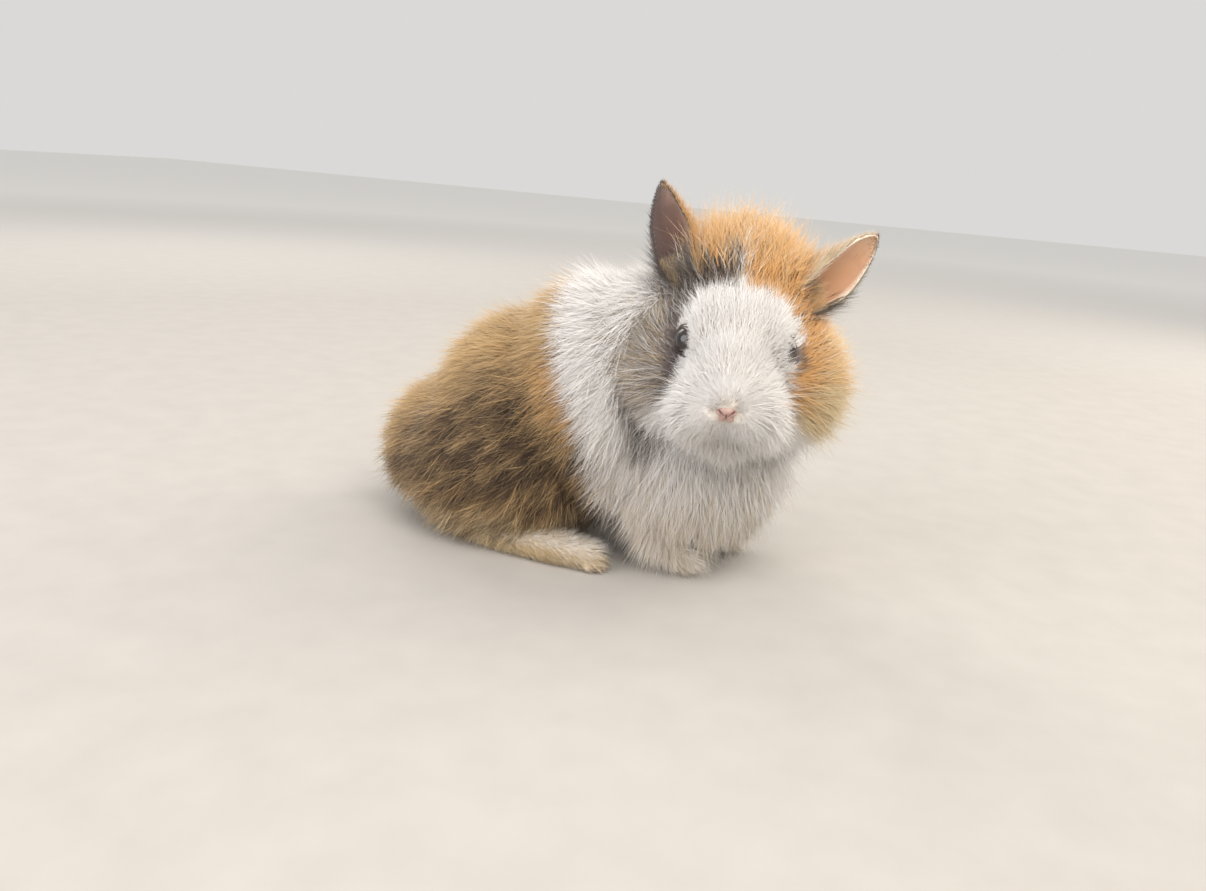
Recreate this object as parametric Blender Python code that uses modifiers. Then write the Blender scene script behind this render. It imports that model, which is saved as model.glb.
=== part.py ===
"""A young lionhead rabbit, life size, sitting with its head turned to its right.

The rabbit's body heads along -Y, its left is +X, and +Z is up. Sizes below are in
millimetres and are turned to metres by mm(). The origin ends on the floor, under the
middle of the rabbit's box. The flesh cores lie about half way down into the coat,
and the long wool stands out of them as flat, tapered locks.
"""
import math
import random

import bmesh
import bpy
from mathutils import Euler, Matrix, Vector
from mathutils.bvhtree import BVHTree

MM = 0.001

# Gap that neighbouring solids keep, and half of it for each side of a cut
GAP = 0.3
HALF_GAP = GAP / 2
SLIVER = GAP * 2 / 3
WELD = 0.0001

# Torso, along the spine from rump to chest: centre, then half width, half length, half height
RUMP = ((0, 34, 26), (25, 33, 24))
LOIN = ((0, 14, 41), (27, 32, 33))
RIBS = ((-1, -12, 55), (26, 29, 34))
CHEST = ((-1, -43, 45), (22, 25, 31))
NECK_BASE = ((-3, -34, 72), (21, 21, 22))
NECK_TOP = ((-12, -52, 76), (18, 18, 18))

# Head: where its middle is, how far it is turned from the body's heading, and its droop.
# Its forms are placed in its own frame, in which it faces -Y and its left is +X.
HEAD_MIDDLE = (-20, -59, 79)
HEAD_TURN = -78
HEAD_DROOP = 10
HEAD_FORMS = (
    ("cranium", (0, 4, 4), (20, 20, 20)),
    ("crown", (0, 6, 10), (15, 15, 18)),
    ("brow", (0, -6, 6.5), (16.5, 14, 13)),
    ("throat", (0, 1, -11), (15, 16, 12)),
    ("muzzle", (0, -19, -6.5), (10.5, 12, 10)),
    ("nose_bridge", (0, -27, -4.5), (5, 6.5, 4.5)),
    ("chin", (0, -20, -14.5), (6, 7.5, 4.5)),
)
HEAD_PAIRS = (
    ("cheek", (13.5, 2, -5), (13, 15, 14.5)),
    ("whisker_pad", (4.8, -25.5, -9.5), (5.8, 6.6, 5.6)),
)
NOSE_MIDDLE = (0, -31.8, -6.8)
NOSE_RADII = (3.2, 2.2, 2.2)
NOSTRIL = (1.9, -33.4, -6.9)
NOSTRIL_RADII = (1.3, 1.2, 0.55)
NOSTRIL_SLANT = 0.5
MOUTH_CLEFT_TOP = (0, -33, -9.4)
MOUTH_MIDDLE = (0, -30.5, -13)
MOUTH_CORNER = (7.5, -22.5, -14.2)
MOUTH_GROOVE = 0.55
MOUTH_STEPS = 5

EYE_RADIUS = 5.4
EYE_MIDDLE = (12.6, -9.8, 5.5)
LID_THICKNESS = 1.5
LID_SINK = 0.5
LID_STRETCH = 1.08

# Ears: a shell whose section is an arc, half as wide as the bend at root and tip says
EAR_LENGTH = 40
EAR_WIDTH = 20
EAR_THICKNESS = 1.7
EAR_ROWS = 7
EAR_COLUMNS = 5
EAR_BEND_ROOT = 1.9
EAR_BEND_TIP = 0.6
EAR_LEAN = 2.5
EAR_ROOT_WIDTH = 0.55
EAR_TIP_WIDTH = 0.1
EAR_WIDEST = 0.45
EAR_POINT = 1.7
EAR_TIP_RIGHT = (-30, 12, 48)
EAR_TIP_LEFT = (41, 17, 36)
EAR_ROOT = (11.5, 5, 15)
EAR_BACK = (0.35, 1, 0.25)

# Where the neck starts and ends, and the directions in which those cuts face the rump
HEAD_CUT = ((-12, -54.5, 70), (0.62, 0.35, -0.7))
NECK_CUT = ((-4, -35, 60), (0.48, 0.56, -0.675))

# Hind legs: thigh, then the long foot from heel to toes; the room is what its wool stays in
THIGH = ((20, 21, 27), (13, 27, 25))
HIND_FOOT = ((28, 20, 4.6), (30, -2, 4.7), (29.5, -18, 4.4))
HIND_FOOT_RADII = (6.2, 6.6, 5.8)
THIGH_ROOM = ((25, 23, 24), (18, 34, 33))

# Front legs: elbow, wrist and paw, for the right one and the left one
FRONT_RIGHT = ((-12, -33, 28), (-13, -41, 14), (-14, -46, 5))
FRONT_LEFT = ((11, -36, 28), (13.5, -48, 14), (15, -53, 5))
FRONT_RADII = (9, 6.6, 5.8)
FRONT_ROOM = (14, 11.5, 8)

TAIL = ((0, 62, 24), (7.5, 7, 10))
TAIL_ROOM = ((0, 68, 26), (12, 12, 16))

TOES = 4
TOE_RADIUS = 2.4
TOE_SPREAD = 2.7
TOE_REACH = 3.6
CLAW_LENGTH = 3.4
CLAW_RADIUS = 0.8
CLAW_TIP = 0.2
CLAW_ROOT = 0.4
CLAW_DROOP = 0.2
TOE_ARCH = 0.9
TOE_HEIGHT = 0.9

FLOOR_CLEARANCE = 1.0
SEED = 7

# Triangles that each core is coarsened to
BODY_TRIANGLES = 700
HEAD_TRIANGLES = 720
FRONT_TRIANGLES = 220
HIND_TRIANGLES = 360
TAIL_TRIANGLES = 90

# A lock's rings from its root outwards: share of its length, of its width and of its depth
LOCK_RINGS = ((0.0, 0.8, 1.0), (0.35, 1.0, 1.0), (0.7, 0.58, 0.75))
LOCK_RISE = 0.8
ROOT_SINK = 3
LOCK_DEPTH = 2.2
LOCK_TWIST = 0.3
LOCK_SWERVE = 0.25
RING_MARGIN = 1.3
CORNER_MARGIN = 0.25
ROOT_MARGIN = 1.6
ROOT_TRIES = 40
SOWINGS = 12
SKIN_NOISE = 0.05
MARGIN_SPREAD = 0.8
LOCK_STEP_MIN = 1.5
LOCK_SHARES = (1, 0.75, 0.55)
LOCK_BEND_MIN = 0.35

# Past a cut the coat in front lies over the one behind: how steeply their border leaves the core
LAYER_SLOPE = 0.5

# Locks of each part of the coat, in millimetres: how far apart their roots are, their length
# and width, how far their tips stand off the core, and the share by which they hang free of it
CROWN_WOOL = {"spacing": 6.6, "length": 25, "width": 10, "stand": 17, "hang": 0.5}
CHEEK_WOOL = {"spacing": 7.2, "length": 21, "width": 9.5, "stand": 10, "hang": 0.3}
MANE_WOOL = {"spacing": 8.2, "length": 27, "width": 12, "stand": 13, "hang": 0.2}
BIB_WOOL = {"spacing": 9, "length": 26, "width": 12, "stand": 11, "hang": 0.5}
BACK_WOOL = {"spacing": 10, "length": 29, "width": 15, "stand": 9.5, "hang": 0.2}
RUMP_WOOL = {"spacing": 8.8, "length": 20, "width": 12, "stand": 8, "hang": 0.4}
THIGH_WOOL = {"spacing": 10, "length": 22, "width": 13, "stand": 7, "hang": 0.1}
LEG_WOOL = {"spacing": 8, "length": 15, "width": 9, "stand": 4, "hang": 0.1}
TAIL_WOOL = {"spacing": 5.2, "length": 13, "width": 8, "stand": 5, "hang": 0.2}

# Where the long wool ends on the head, in its own frame, and the ball round each eye it keeps off
CROWN_LOW = 13
FACE_BACK = -12
EYE_CLEARING = 8.5
BIB_BACK = -38
RUMP_FRONT = 44
THIGH_INSIDE = 14
BELLY = -0.75
FOOT_TOP = 13
PAW_TOP = 12

# The lie of the wool on each part, from root to tip
WOOL_SINK = 0.3
MANE_LIE = (0, 0.5, -1)
BIB_LIE = (-0.1, -0.3, -1)
BACK_LIE = (0, 1, -0.4)
THIGH_LIE = (0, 0.7, -0.8)
LEG_LIE = (0, 0, -1)
TAIL_LIE = (0, 0.4, 1)

# Coat colours
WHITE = (0.86, 0.83, 0.78)
FAWN = (0.52, 0.36, 0.22)
CREAM = (0.78, 0.67, 0.52)
EAR_PINK = (0.62, 0.40, 0.36)
EYE_DARK = (0.03, 0.03, 0.045)


def mm(point):
    """A point or a size in millimetres, as a vector in metres."""
    return Vector(point) * MM


def mirrored(point):
    return (-point[0], point[1], point[2])


def clear_scene():
    for obj in list(bpy.data.objects):
        bpy.data.objects.remove(obj)


def new_collection(name):
    made = bpy.data.collections.new(name)
    bpy.context.scene.collection.children.link(made)
    return made


def material(name, colour, roughness):
    made = bpy.data.materials.new(name)
    made.use_nodes = True
    shader = made.node_tree.nodes["Principled BSDF"]
    shader.inputs["Base Color"].default_value = (*colour, 1)
    shader.inputs["Roughness"].default_value = roughness
    shader.inputs["Metallic"].default_value = 0
    return made


def object_from(name, mesh, collection):
    obj = bpy.data.objects.new(name, mesh)
    collection.objects.link(obj)
    return obj


def ellipsoid(name, middle, radii, collection, turn=(0, 0, 0), segments=28, rings=18):
    """A sphere primitive stretched to three radii, in millimetres, and turned."""
    mesh = bpy.data.meshes.new(name)
    work = bmesh.new()
    bmesh.ops.create_uvsphere(work, u_segments=segments, v_segments=rings, radius=1)
    stretch = Matrix.Diagonal((*mm(radii), 1))
    place = Matrix.Translation(mm(middle)) @ Euler(turn).to_matrix().to_4x4()
    bmesh.ops.transform(work, matrix=place @ stretch, verts=work.verts)
    work.to_mesh(mesh)
    work.free()
    return object_from(name, mesh, collection)


def balls_along(points, radii, steps=6):
    """Middles and radii of overlapping balls along a bent line."""
    for index in range(len(points) - 1):
        for step in range(steps + 1):
            share = step / steps
            middle = Vector(points[index]).lerp(Vector(points[index + 1]), share)
            yield middle, radii[index] + (radii[index + 1] - radii[index]) * share


def evaluated_mesh(obj):
    bpy.context.view_layer.update()
    graph = bpy.context.evaluated_depsgraph_get()
    return bpy.data.meshes.new_from_object(obj.evaluated_get(graph))


def blended(name, pieces, collection, voxel, smoothing, triangles):
    """Joins pieces into one soft closed form, with about that many triangles."""
    work = bmesh.new()
    for piece in pieces:
        work.from_mesh(piece.data)
        bpy.data.objects.remove(piece)
    mesh = bpy.data.meshes.new(name)
    work.to_mesh(mesh)
    work.free()
    obj = object_from(name, mesh, collection)
    remesh = obj.modifiers.new("one skin", "REMESH")
    remesh.mode = "VOXEL"
    remesh.voxel_size = voxel * MM
    smooth = obj.modifiers.new("soften", "SMOOTH")
    smooth.factor = 0.5
    smooth.iterations = smoothing
    obj.data = evaluated_mesh(obj)
    obj.modifiers.clear()
    obj.data.calc_loop_triangles()
    decimate = obj.modifiers.new("coarsen", "DECIMATE")
    decimate.ratio = min(1, triangles / len(obj.data.loop_triangles))
    decimate.use_collapse_triangulate = True
    obj.data = evaluated_mesh(obj)
    obj.modifiers.clear()
    return obj


def grown(obj, amount, name, collection):
    """A copy of a smooth form, moved out along its normals by amount millimetres."""
    copy = object_from(name, obj.data.copy(), collection)
    for vertex, normal in zip(copy.data.vertices, obj.data.vertex_normals):
        vertex.co += normal.vector * amount * MM
    return copy


def largest_part(mesh):
    """Welds corners that share a place, and keeps only the closed surface with the most volume."""
    work = bmesh.new()
    work.from_mesh(mesh)
    bmesh.ops.triangulate(work, faces=work.faces)
    bmesh.ops.remove_doubles(work, verts=work.verts, dist=WELD * MM)
    left = set(work.faces)
    parts = []
    while left:
        part = {left.pop()}
        edge = list(part)
        while edge:
            face = edge.pop()
            for side in face.edges:
                for other in side.link_faces:
                    if other in left:
                        left.discard(other)
                        part.add(other)
                        edge.append(other)
        parts.append(part)

    def volume(part):
        return sum(f.verts[0].co.dot(f.verts[1].co.cross(f.verts[2].co)) for f in part)

    keep = max(parts, key=volume)
    drop = [face for face in work.faces if face not in keep]
    bmesh.ops.delete(work, geom=drop, context="FACES")
    work.to_mesh(mesh)
    work.free()


def sealed(mesh):
    """True where a closed surface nowhere touches itself."""
    work = bmesh.new()
    work.from_mesh(mesh)
    clean = all(edge.is_manifold for edge in work.edges) and all(v.is_manifold for v in work.verts)
    work.free()
    return clean


def boolean(obj, operation, pieces):
    """Applies one Boolean with a collection of pieces, and removes the pieces."""
    group = bpy.data.collections.new("operands")
    bpy.context.scene.collection.children.link(group)
    for piece in pieces:
        for owner in piece.users_collection:
            owner.objects.unlink(piece)
        group.objects.link(piece)
    cut = obj.modifiers.new(operation.lower(), "BOOLEAN")
    cut.operation = operation
    cut.operand_type = "COLLECTION"
    cut.collection = group
    # The many crossing locks stay closed with this solver
    cut.solver = "MANIFOLD"
    obj.data = evaluated_mesh(obj)
    obj.modifiers.clear()
    for piece in pieces:
        bpy.data.objects.remove(piece)
    bpy.data.collections.remove(group)
    largest_part(obj.data)


class Plane:
    """A flat wall: the allowed side is the one its normal points to."""

    def __init__(self, point, normal):
        self.point = Vector(point)
        self.normal = Vector(normal).normalized()

    def clearance(self, p):
        return (p - self.point).dot(self.normal), self.normal

    def flipped(self):
        return Plane(self.point, -self.normal)

    def block(self, collection, gap=HALF_GAP, size=400):
        """A big box on the forbidden side, whose face stands that gap past the plane."""
        mesh = bpy.data.meshes.new("block")
        work = bmesh.new()
        bmesh.ops.create_cube(work, size=size * MM)
        turn = self.normal.to_track_quat("Z", "Y").to_matrix().to_4x4()
        middle = self.point + self.normal * (gap - size / 2)
        bmesh.ops.transform(work, matrix=Matrix.Translation(mm(middle)) @ turn, verts=work.verts)
        work.to_mesh(mesh)
        work.free()
        return object_from("block", mesh, collection)


class Egg:
    """An ellipsoid wall: the allowed side is outside it, or inside where keep_in is set."""

    def __init__(self, middle, radii, keep_in=False):
        self.middle = Vector(middle)
        self.radii = Vector(radii)
        self.sign = -1 if keep_in else 1

    def clearance(self, p):
        q = Vector(a / r for a, r in zip(p - self.middle, self.radii))
        length = max(q.length, 1e-6)
        slope = Vector(a / r for a, r in zip(q, self.radii)) / length
        steep = max(slope.length, 1e-6)
        return self.sign * (length - 1) / steep, slope / steep * self.sign


class Balls:
    """The wall around a limb: the allowed side is outside its balls, or inside with keep_in."""

    def __init__(self, points, radii, keep_in=False):
        self.balls = list(balls_along(points, radii))
        self.sign = -1 if keep_in else 1

    def clearance(self, p):
        room, middle = min(((p - middle).length - radius, tuple(middle)) for middle, radius in self.balls)
        return room * self.sign, (p - Vector(middle)).normalized() * self.sign


class Layer:
    """The border between two coats past a cut: the front one keeps over it, the back one under."""

    def __init__(self, surface, cut, over):
        self.surface = surface
        self.cut = cut
        self.sign = 1 if over else -1

    def clearance(self, p):
        near, normal = self.surface.find_nearest(p)[:2]
        past, facing = self.cut.clearance(p)
        slope = normal - facing * LAYER_SLOPE
        height = (p - near).dot(normal)
        return self.sign * (height - past * LAYER_SLOPE) / slope.length, slope.normalized() * self.sign


class Outside:
    """The wall around a core: the allowed side is outside its surface."""

    def __init__(self, surface):
        self.surface = surface

    def clearance(self, p):
        near, normal = self.surface.find_nearest(p)[:2]
        return (p - near).dot(normal), normal


def kept_clear(point, walls, margin):
    """The point, pushed to the allowed side of every wall by at least the margin."""
    for _ in range(4):
        for wall in walls:
            room, away = wall.clearance(point)
            if room < margin:
                point = point + away * (margin - room)
    return point


def head_matrix():
    """From the head's own frame, in which it faces -Y, to the rabbit's frame."""
    turn = Matrix.Rotation(math.radians(HEAD_TURN), 4, "Z")
    droop = Matrix.Rotation(math.radians(HEAD_DROOP), 4, "X")
    return Matrix.Translation(mm(HEAD_MIDDLE)) @ turn @ droop


def head_point(point):
    """A point of the head's own frame, in millimetres in the rabbit's frame."""
    return (head_matrix() @ mm(point)) / MM


def in_head(place):
    """A place of the rabbit's frame, in millimetres of the head's own frame."""
    return (head_matrix().inverted() @ mm(place)) / MM


def body_form(scratch):
    """Torso and neck as one soft form, before the cuts."""
    balls = [
        ellipsoid(f"body_{index}", middle, radii, scratch)
        for index, (middle, radii) in enumerate((RUMP, LOIN, RIBS, CHEST, NECK_BASE, NECK_TOP))
    ]
    return blended("body_form", balls, scratch, voxel=2, smoothing=24, triangles=BODY_TRIANGLES)


def head_form(scratch):
    """The head: blended forms with nose, mouth line, nostrils and lids."""
    balls = [ellipsoid(name, middle, radii, scratch) for name, middle, radii in HEAD_FORMS]
    for name, middle, radii in HEAD_PAIRS:
        balls.append(ellipsoid(name + "_left", middle, radii, scratch))
        balls.append(ellipsoid(name + "_right", mirrored(middle), radii, scratch))
    head = blended("head_form", balls, scratch, voxel=0.9, smoothing=8, triangles=HEAD_TRIANGLES)
    surface = BVHTree.FromObject(head, bpy.context.evaluated_depsgraph_get())
    added = [ellipsoid("nose", NOSE_MIDDLE, NOSE_RADII, scratch, segments=12, rings=7)]
    cutters = mouth_cutters(surface, scratch)
    for sign in (-1, 1):
        eye = Vector((sign * EYE_MIDDLE[0], *EYE_MIDDLE[1:]))
        added.append(lid_ring(eye, surface))
        cutters.append(ellipsoid("socket", eye, (EYE_RADIUS + GAP,) * 3, scratch, segments=14, rings=10))
        nostril = Vector((sign * NOSTRIL[0], *NOSTRIL[1:]))
        cutters.append(ellipsoid("nostril", nostril, NOSTRIL_RADII, scratch,
                                 turn=(0, 0, sign * NOSTRIL_SLANT), segments=8, rings=5))
    boolean(head, "UNION", added)
    boolean(head, "DIFFERENCE", cutters)
    head.data.transform(head_matrix())
    return head


def lid_ring(eye, surface):
    """The two lids as one raised ring where the eye leaves the head, longer than it is high."""
    near, outward = surface.find_nearest(mm(eye))[:2]
    depth = (near / MM - eye).length
    radius = math.sqrt(EYE_RADIUS ** 2 - depth ** 2)
    bpy.ops.mesh.primitive_torus_add(major_radius=radius * MM, minor_radius=LID_THICKNESS * MM,
                                     major_segments=14, minor_segments=6)
    ring = bpy.context.object
    ring.name = "lid_ring"
    forward = Vector((0, -1, 0))
    along = (forward - outward * forward.dot(outward)).normalized()
    across = outward.cross(along)
    turn = Matrix((along * LID_STRETCH, across / LID_STRETCH, outward)).transposed().to_4x4()
    ring.data.transform(Matrix.Translation(near - outward * LID_SINK * MM) @ turn)
    return ring


def mouth_cutters(surface, scratch):
    """The cleft under the nose and the line of the mouth, as grooves along the surface."""
    lines = [(MOUTH_CLEFT_TOP, MOUTH_MIDDLE)]
    for corner in (MOUTH_CORNER, mirrored(MOUTH_CORNER)):
        lines.append((MOUTH_MIDDLE, corner))
    made = []
    for index, (start, end) in enumerate(lines):
        curve = bpy.data.curves.new("mouth", "CURVE")
        curve.dimensions = "3D"
        curve.bevel_depth = MOUTH_GROOVE * MM
        curve.bevel_resolution = 1
        curve.use_fill_caps = True
        line = curve.splines.new("POLY")
        line.points.add(MOUTH_STEPS - 1)
        for step in range(MOUTH_STEPS):
            share = step / (MOUTH_STEPS - 1)
            near = surface.find_nearest(mm(Vector(start).lerp(Vector(end), share)))[0]
            line.points[step].co = (*near, 1)
        made.append(mesh_of_curve(object_from(f"mouth_{index}", curve, scratch), scratch))
    return made


def mesh_of_curve(guide, collection):
    mesh = evaluated_mesh(guide)
    work = bmesh.new()
    work.from_mesh(mesh)
    bmesh.ops.remove_doubles(work, verts=work.verts, dist=1e-6)
    work.to_mesh(mesh)
    work.free()
    name = guide.name
    bpy.data.objects.remove(guide)
    return object_from(name + "_tube", mesh, collection)


def ear_outline(u):
    """Half width along the ear, as a share of the widest place."""
    rise = EAR_ROOT_WIDTH + (1 - EAR_ROOT_WIDTH) * math.sin(math.pi / 2 * min(1, u / EAR_WIDEST))
    fall = max(0, (u - EAR_WIDEST) / (1 - EAR_WIDEST))
    return max(EAR_TIP_WIDTH, rise * math.sqrt(max(0, 1 - fall ** EAR_POINT)))


def ear(name, sign, tip, rabbit):
    """A cupped shell up to its tip, open towards the face, narrow where it leaves the head."""
    mesh = bpy.data.meshes.new(name)
    work = bmesh.new()
    rows = []
    for row in range(EAR_ROWS + 1):
        u = row / EAR_ROWS
        bend = EAR_BEND_ROOT + (EAR_BEND_TIP - EAR_BEND_ROOT) * u
        radius = EAR_WIDTH / 2 * ear_outline(u) / bend
        line = []
        for column in range(EAR_COLUMNS + 1):
            v = (2 * column / EAR_COLUMNS - 1) * bend
            y = radius * (math.cos(v) - 1) + EAR_LEAN * u * u
            line.append(work.verts.new(mm((radius * math.sin(v), y, EAR_LENGTH * u))))
        rows.append(line)
    for low, high in zip(rows, rows[1:]):
        for column in range(EAR_COLUMNS):
            work.faces.new((low[column], low[column + 1], high[column + 1], high[column]))
    work.to_mesh(mesh)
    work.free()
    obj = object_from(name, mesh, rabbit)
    shell = obj.modifiers.new("thickness", "SOLIDIFY")
    shell.thickness = EAR_THICKNESS * MM
    shell.offset = 0
    obj.data = evaluated_mesh(obj)
    obj.modifiers.clear()
    root = Vector((sign * EAR_ROOT[0], *EAR_ROOT[1:]))
    along = (Vector(tip) - root).normalized()
    back = Vector((-sign * EAR_BACK[0], *EAR_BACK[1:]))
    back = (back - along * back.dot(along)).normalized()
    turn = Matrix((back.cross(along), back, along)).transposed().to_4x4()
    start = Vector(tip) - along * EAR_LENGTH
    obj.data.transform(head_matrix() @ Matrix.Translation(mm(start)) @ turn)
    return obj


def toe_places(points):
    """Toe middles in front of a foot's end, the direction ahead, in millimetres."""
    end = Vector(points[-1])
    ahead = end - Vector(points[-2])
    ahead.z = 0
    ahead.normalize()
    across = Vector((-ahead.y, ahead.x, 0))
    places = []
    for toe in range(TOES):
        offset = toe - (TOES - 1) / 2
        place = end + ahead * (TOE_REACH - abs(offset) * TOE_ARCH) + across * offset * TOE_SPREAD
        place.z = TOE_RADIUS * TOE_HEIGHT
        places.append(place)
    return places, ahead


def claw(place, ahead, collection):
    """A short cone rooted in the toe, pointing ahead and a little down."""
    mesh = bpy.data.meshes.new("claw")
    work = bmesh.new()
    length = CLAW_LENGTH + TOE_RADIUS * (1 - CLAW_ROOT)
    bmesh.ops.create_cone(work, cap_ends=True, segments=6, radius1=CLAW_RADIUS * MM,
                          radius2=CLAW_TIP * MM, depth=length * MM)
    direction = (ahead + Vector((0, 0, -CLAW_DROOP))).normalized()
    turn = direction.to_track_quat("Z", "Y").to_matrix().to_4x4()
    middle = place + direction * (TOE_RADIUS * CLAW_ROOT + length / 2)
    bmesh.ops.transform(work, matrix=Matrix.Translation(mm(middle)) @ turn, verts=work.verts)
    work.to_mesh(mesh)
    work.free()
    return object_from("claw", mesh, collection)


def leg(name, points, radii, extra, torso_core, triangles, rabbit, scratch):
    """A leg with toes, claws and a flat sole, cut clear of the torso's core, and its uncut surface."""
    pieces = [ellipsoid("bone", middle, (radius,) * 3, scratch, segments=20, rings=12)
              for middle, radius in balls_along(points, radii)]
    places, ahead = toe_places(points)
    pieces += [ellipsoid("toe", place, (TOE_RADIUS,) * 3, scratch, segments=16, rings=10)
               for place in places]
    pieces += [ellipsoid("thigh", middle, size, scratch) for middle, size in extra]
    obj = blended(name, pieces, rabbit, voxel=0.9, smoothing=3, triangles=triangles)
    uncut = surface_of(obj)
    boolean(obj, "UNION", [claw(place, ahead, scratch) for place in places])
    sole = Plane((0, 0, 0), (0, 0, 1)).block(scratch, gap=0)
    boolean(obj, "DIFFERENCE", [grown(torso_core, GAP, "torso_room", scratch), sole])
    return obj, uncut


def tangent(direction, normal):
    """The part of a direction that runs along a surface."""
    flat = direction - normal * direction.dot(normal)
    if flat.length < 1e-4:
        flat = normal.orthogonal()
    return flat.normalized()


def surface_of(obj):
    """The surface of an object, to be asked in millimetres."""
    work = bmesh.new()
    work.from_mesh(obj.data)
    bmesh.ops.scale(work, vec=(1 / MM,) * 3, verts=work.verts)
    tree = BVHTree.FromBMesh(work)
    work.free()
    return tree


def roots_on(obj, spacing, allowed, rng):
    """Places spread over an object, at least that far from each other, with their normals."""
    mesh = obj.data
    mesh.calc_loop_triangles()
    triangles = list(mesh.loop_triangles)
    areas = [triangle.area for triangle in triangles]
    tries = int(ROOT_TRIES * sum(areas) / (spacing * MM) ** 2)
    found = []
    for triangle in rng.choices(triangles, areas, k=tries):
        a, b, c = (mesh.vertices[index].co for index in triangle.vertices)
        u, v = sorted((rng.random(), rng.random()))
        place = (a * u + b * (v - u) + c * (1 - v)) / MM
        normal = triangle.normal.copy()
        if allowed(place, normal) and all((place - other).length > spacing for other, _ in found):
            found.append((place, normal))
    return found


def lock_rings(place, normal, kind, share_of_length, surface, walls, rng):
    """The corners of a lock's rings, from its sunk root to its tip, along the lie of the wool."""
    length = kind["length"] * share_of_length * rng.uniform(0.85, 1.15)
    half_width = kind["width"] / 2 * rng.uniform(0.85, 1.15)
    stand = kind["stand"] * share_of_length * rng.uniform(0.85, 1.1)
    run = math.sqrt(max(1, length ** 2 - stand ** 2))
    twist = rng.uniform(-LOCK_TWIST, LOCK_TWIST)
    swerve = rng.uniform(-LOCK_SWERVE, LOCK_SWERVE)
    on_skin = middle = place
    before = height = 0
    rings = []
    for share, wide, deep in (*LOCK_RINGS, (1, 0, 0)):
        step = share - before
        before = share
        heading = tangent(kind["lie"](on_skin, normal), normal)
        heading = (heading + heading.cross(normal) * swerve).normalized()
        rise = stand * share ** LOCK_RISE
        free = middle + heading * run * step + normal * (rise - height)
        height = rise
        on_skin, normal = surface.find_nearest(on_skin + heading * run * step)[:2]
        middle = (on_skin + normal * height).lerp(free, kind["hang"])
        if share:
            middle = kept_clear(middle, walls, RING_MARGIN)
        side = heading.cross(normal).normalized() * math.cos(twist) + normal * math.sin(twist)
        out = side.cross(heading).normalized() * LOCK_DEPTH * deep
        side = side * half_width * wide
        corners = [side - out / 3, out * 2 / 3, -side - out / 3] if wide else [Vector()]
        if share:
            rings.append([
                kept_clear(middle + corner, walls, CORNER_MARGIN + rng.random() * MARGIN_SPREAD)
                for corner in corners
            ])
        else:
            rings.append([middle + corner - normal * ROOT_SINK for corner in corners])
    return rings


def folded(rings):
    """True where a lock, pushed aside by its walls, bends back on itself or is crushed."""
    before = None
    for low, high in zip(rings, rings[1:]):
        step = sum(high, Vector()) / len(high) - sum(low, Vector()) / len(low)
        ahead = step.normalized()
        facing = (low[2] - low[0]).cross(low[1] - low[0]).normalized()
        ends = high * (len(low) // len(high))
        if min((end - start).dot(ahead) for start, end in zip(low, ends)) < LOCK_STEP_MIN:
            return True
        if facing.dot(ahead) < LOCK_BEND_MIN or (before and before.dot(ahead) < LOCK_BEND_MIN):
            return True
        before = ahead
    return False


def lock(rings, collection):
    """One flat, tapered lock: three-cornered rings, closed at the root and drawn to a point."""
    mesh = bpy.data.meshes.new("lock")
    work = bmesh.new()
    made = [[work.verts.new(mm(corner)) for corner in ring] for ring in rings]
    work.faces.new(made[0])
    for low, high in zip(made, made[1:-1]):
        for index in range(3):
            other = (index + 1) % 3
            work.faces.new((low[index], high[index], high[other], low[other]))
    for index in range(3):
        work.faces.new((made[-2][index], made[-1][0], made[-2][(index + 1) % 3]))
    bmesh.ops.triangulate(work, faces=work.faces)
    bmesh.ops.recalc_face_normals(work, faces=work.faces)
    work.to_mesh(mesh)
    work.free()
    return object_from("lock", mesh, collection)


def locks_on(core, uncut, kinds, walls, rng, scratch):
    """Locks of every kind, rooted where the core still has its uncut surface."""
    locks = []
    for kind in kinds:
        def allowed(place, normal):
            clear = min(wall.clearance(place)[0] for wall in walls)
            on_own_skin = uncut.find_nearest(place)[3] < SKIN_NOISE
            return on_own_skin and clear > ROOT_MARGIN and kind["where"](place, normal)

        for place, normal in roots_on(core, kind["spacing"], allowed, rng):
            for share in LOCK_SHARES:
                rings = lock_rings(place, normal, kind, share, uncut, walls, rng)
                if not folded(rings):
                    locks.append(lock(rings, scratch))
                    break
    return locks


def grow_locks(core, uncut, kinds, walls, rng, scratch, neighbours=(), rooms=()):
    """Fuses locks to a core and cuts them clear of what is there already.

    The locks are sown anew where the result touches itself.
    """
    rooms = [*rooms, *(grown(other, gap, "room", scratch) for other in neighbours for gap in (0, SLIVER))]
    for _ in range(SOWINGS):
        trial = grown(core, 0, "trial", scratch)
        boolean(trial, "UNION", locks_on(core, uncut, kinds, walls, rng, scratch))
        if rooms:
            boolean(trial, "DIFFERENCE", [grown(room, 0, "room", scratch) for room in rooms])
        if sealed(trial.data):
            break
    core.data = trial.data
    bpy.data.objects.remove(trial)


def eye_clearings():
    """Balls around the eyes that the wool leaves open."""
    walls = []
    for sign in (-1, 1):
        middle = head_point((sign * EYE_MIDDLE[0], *EYE_MIDDLE[1:]))
        walls.append(Balls((middle, middle), (EYE_CLEARING, EYE_CLEARING)))
    return walls


def head_lie(place, normal):
    """Away from the nose, sinking a little."""
    from_nose = in_head(place) - Vector(NOSE_MIDDLE)
    direction = from_nose.normalized() + Vector((0, 0, -WOOL_SINK))
    return head_matrix().to_3x3() @ direction


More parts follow.
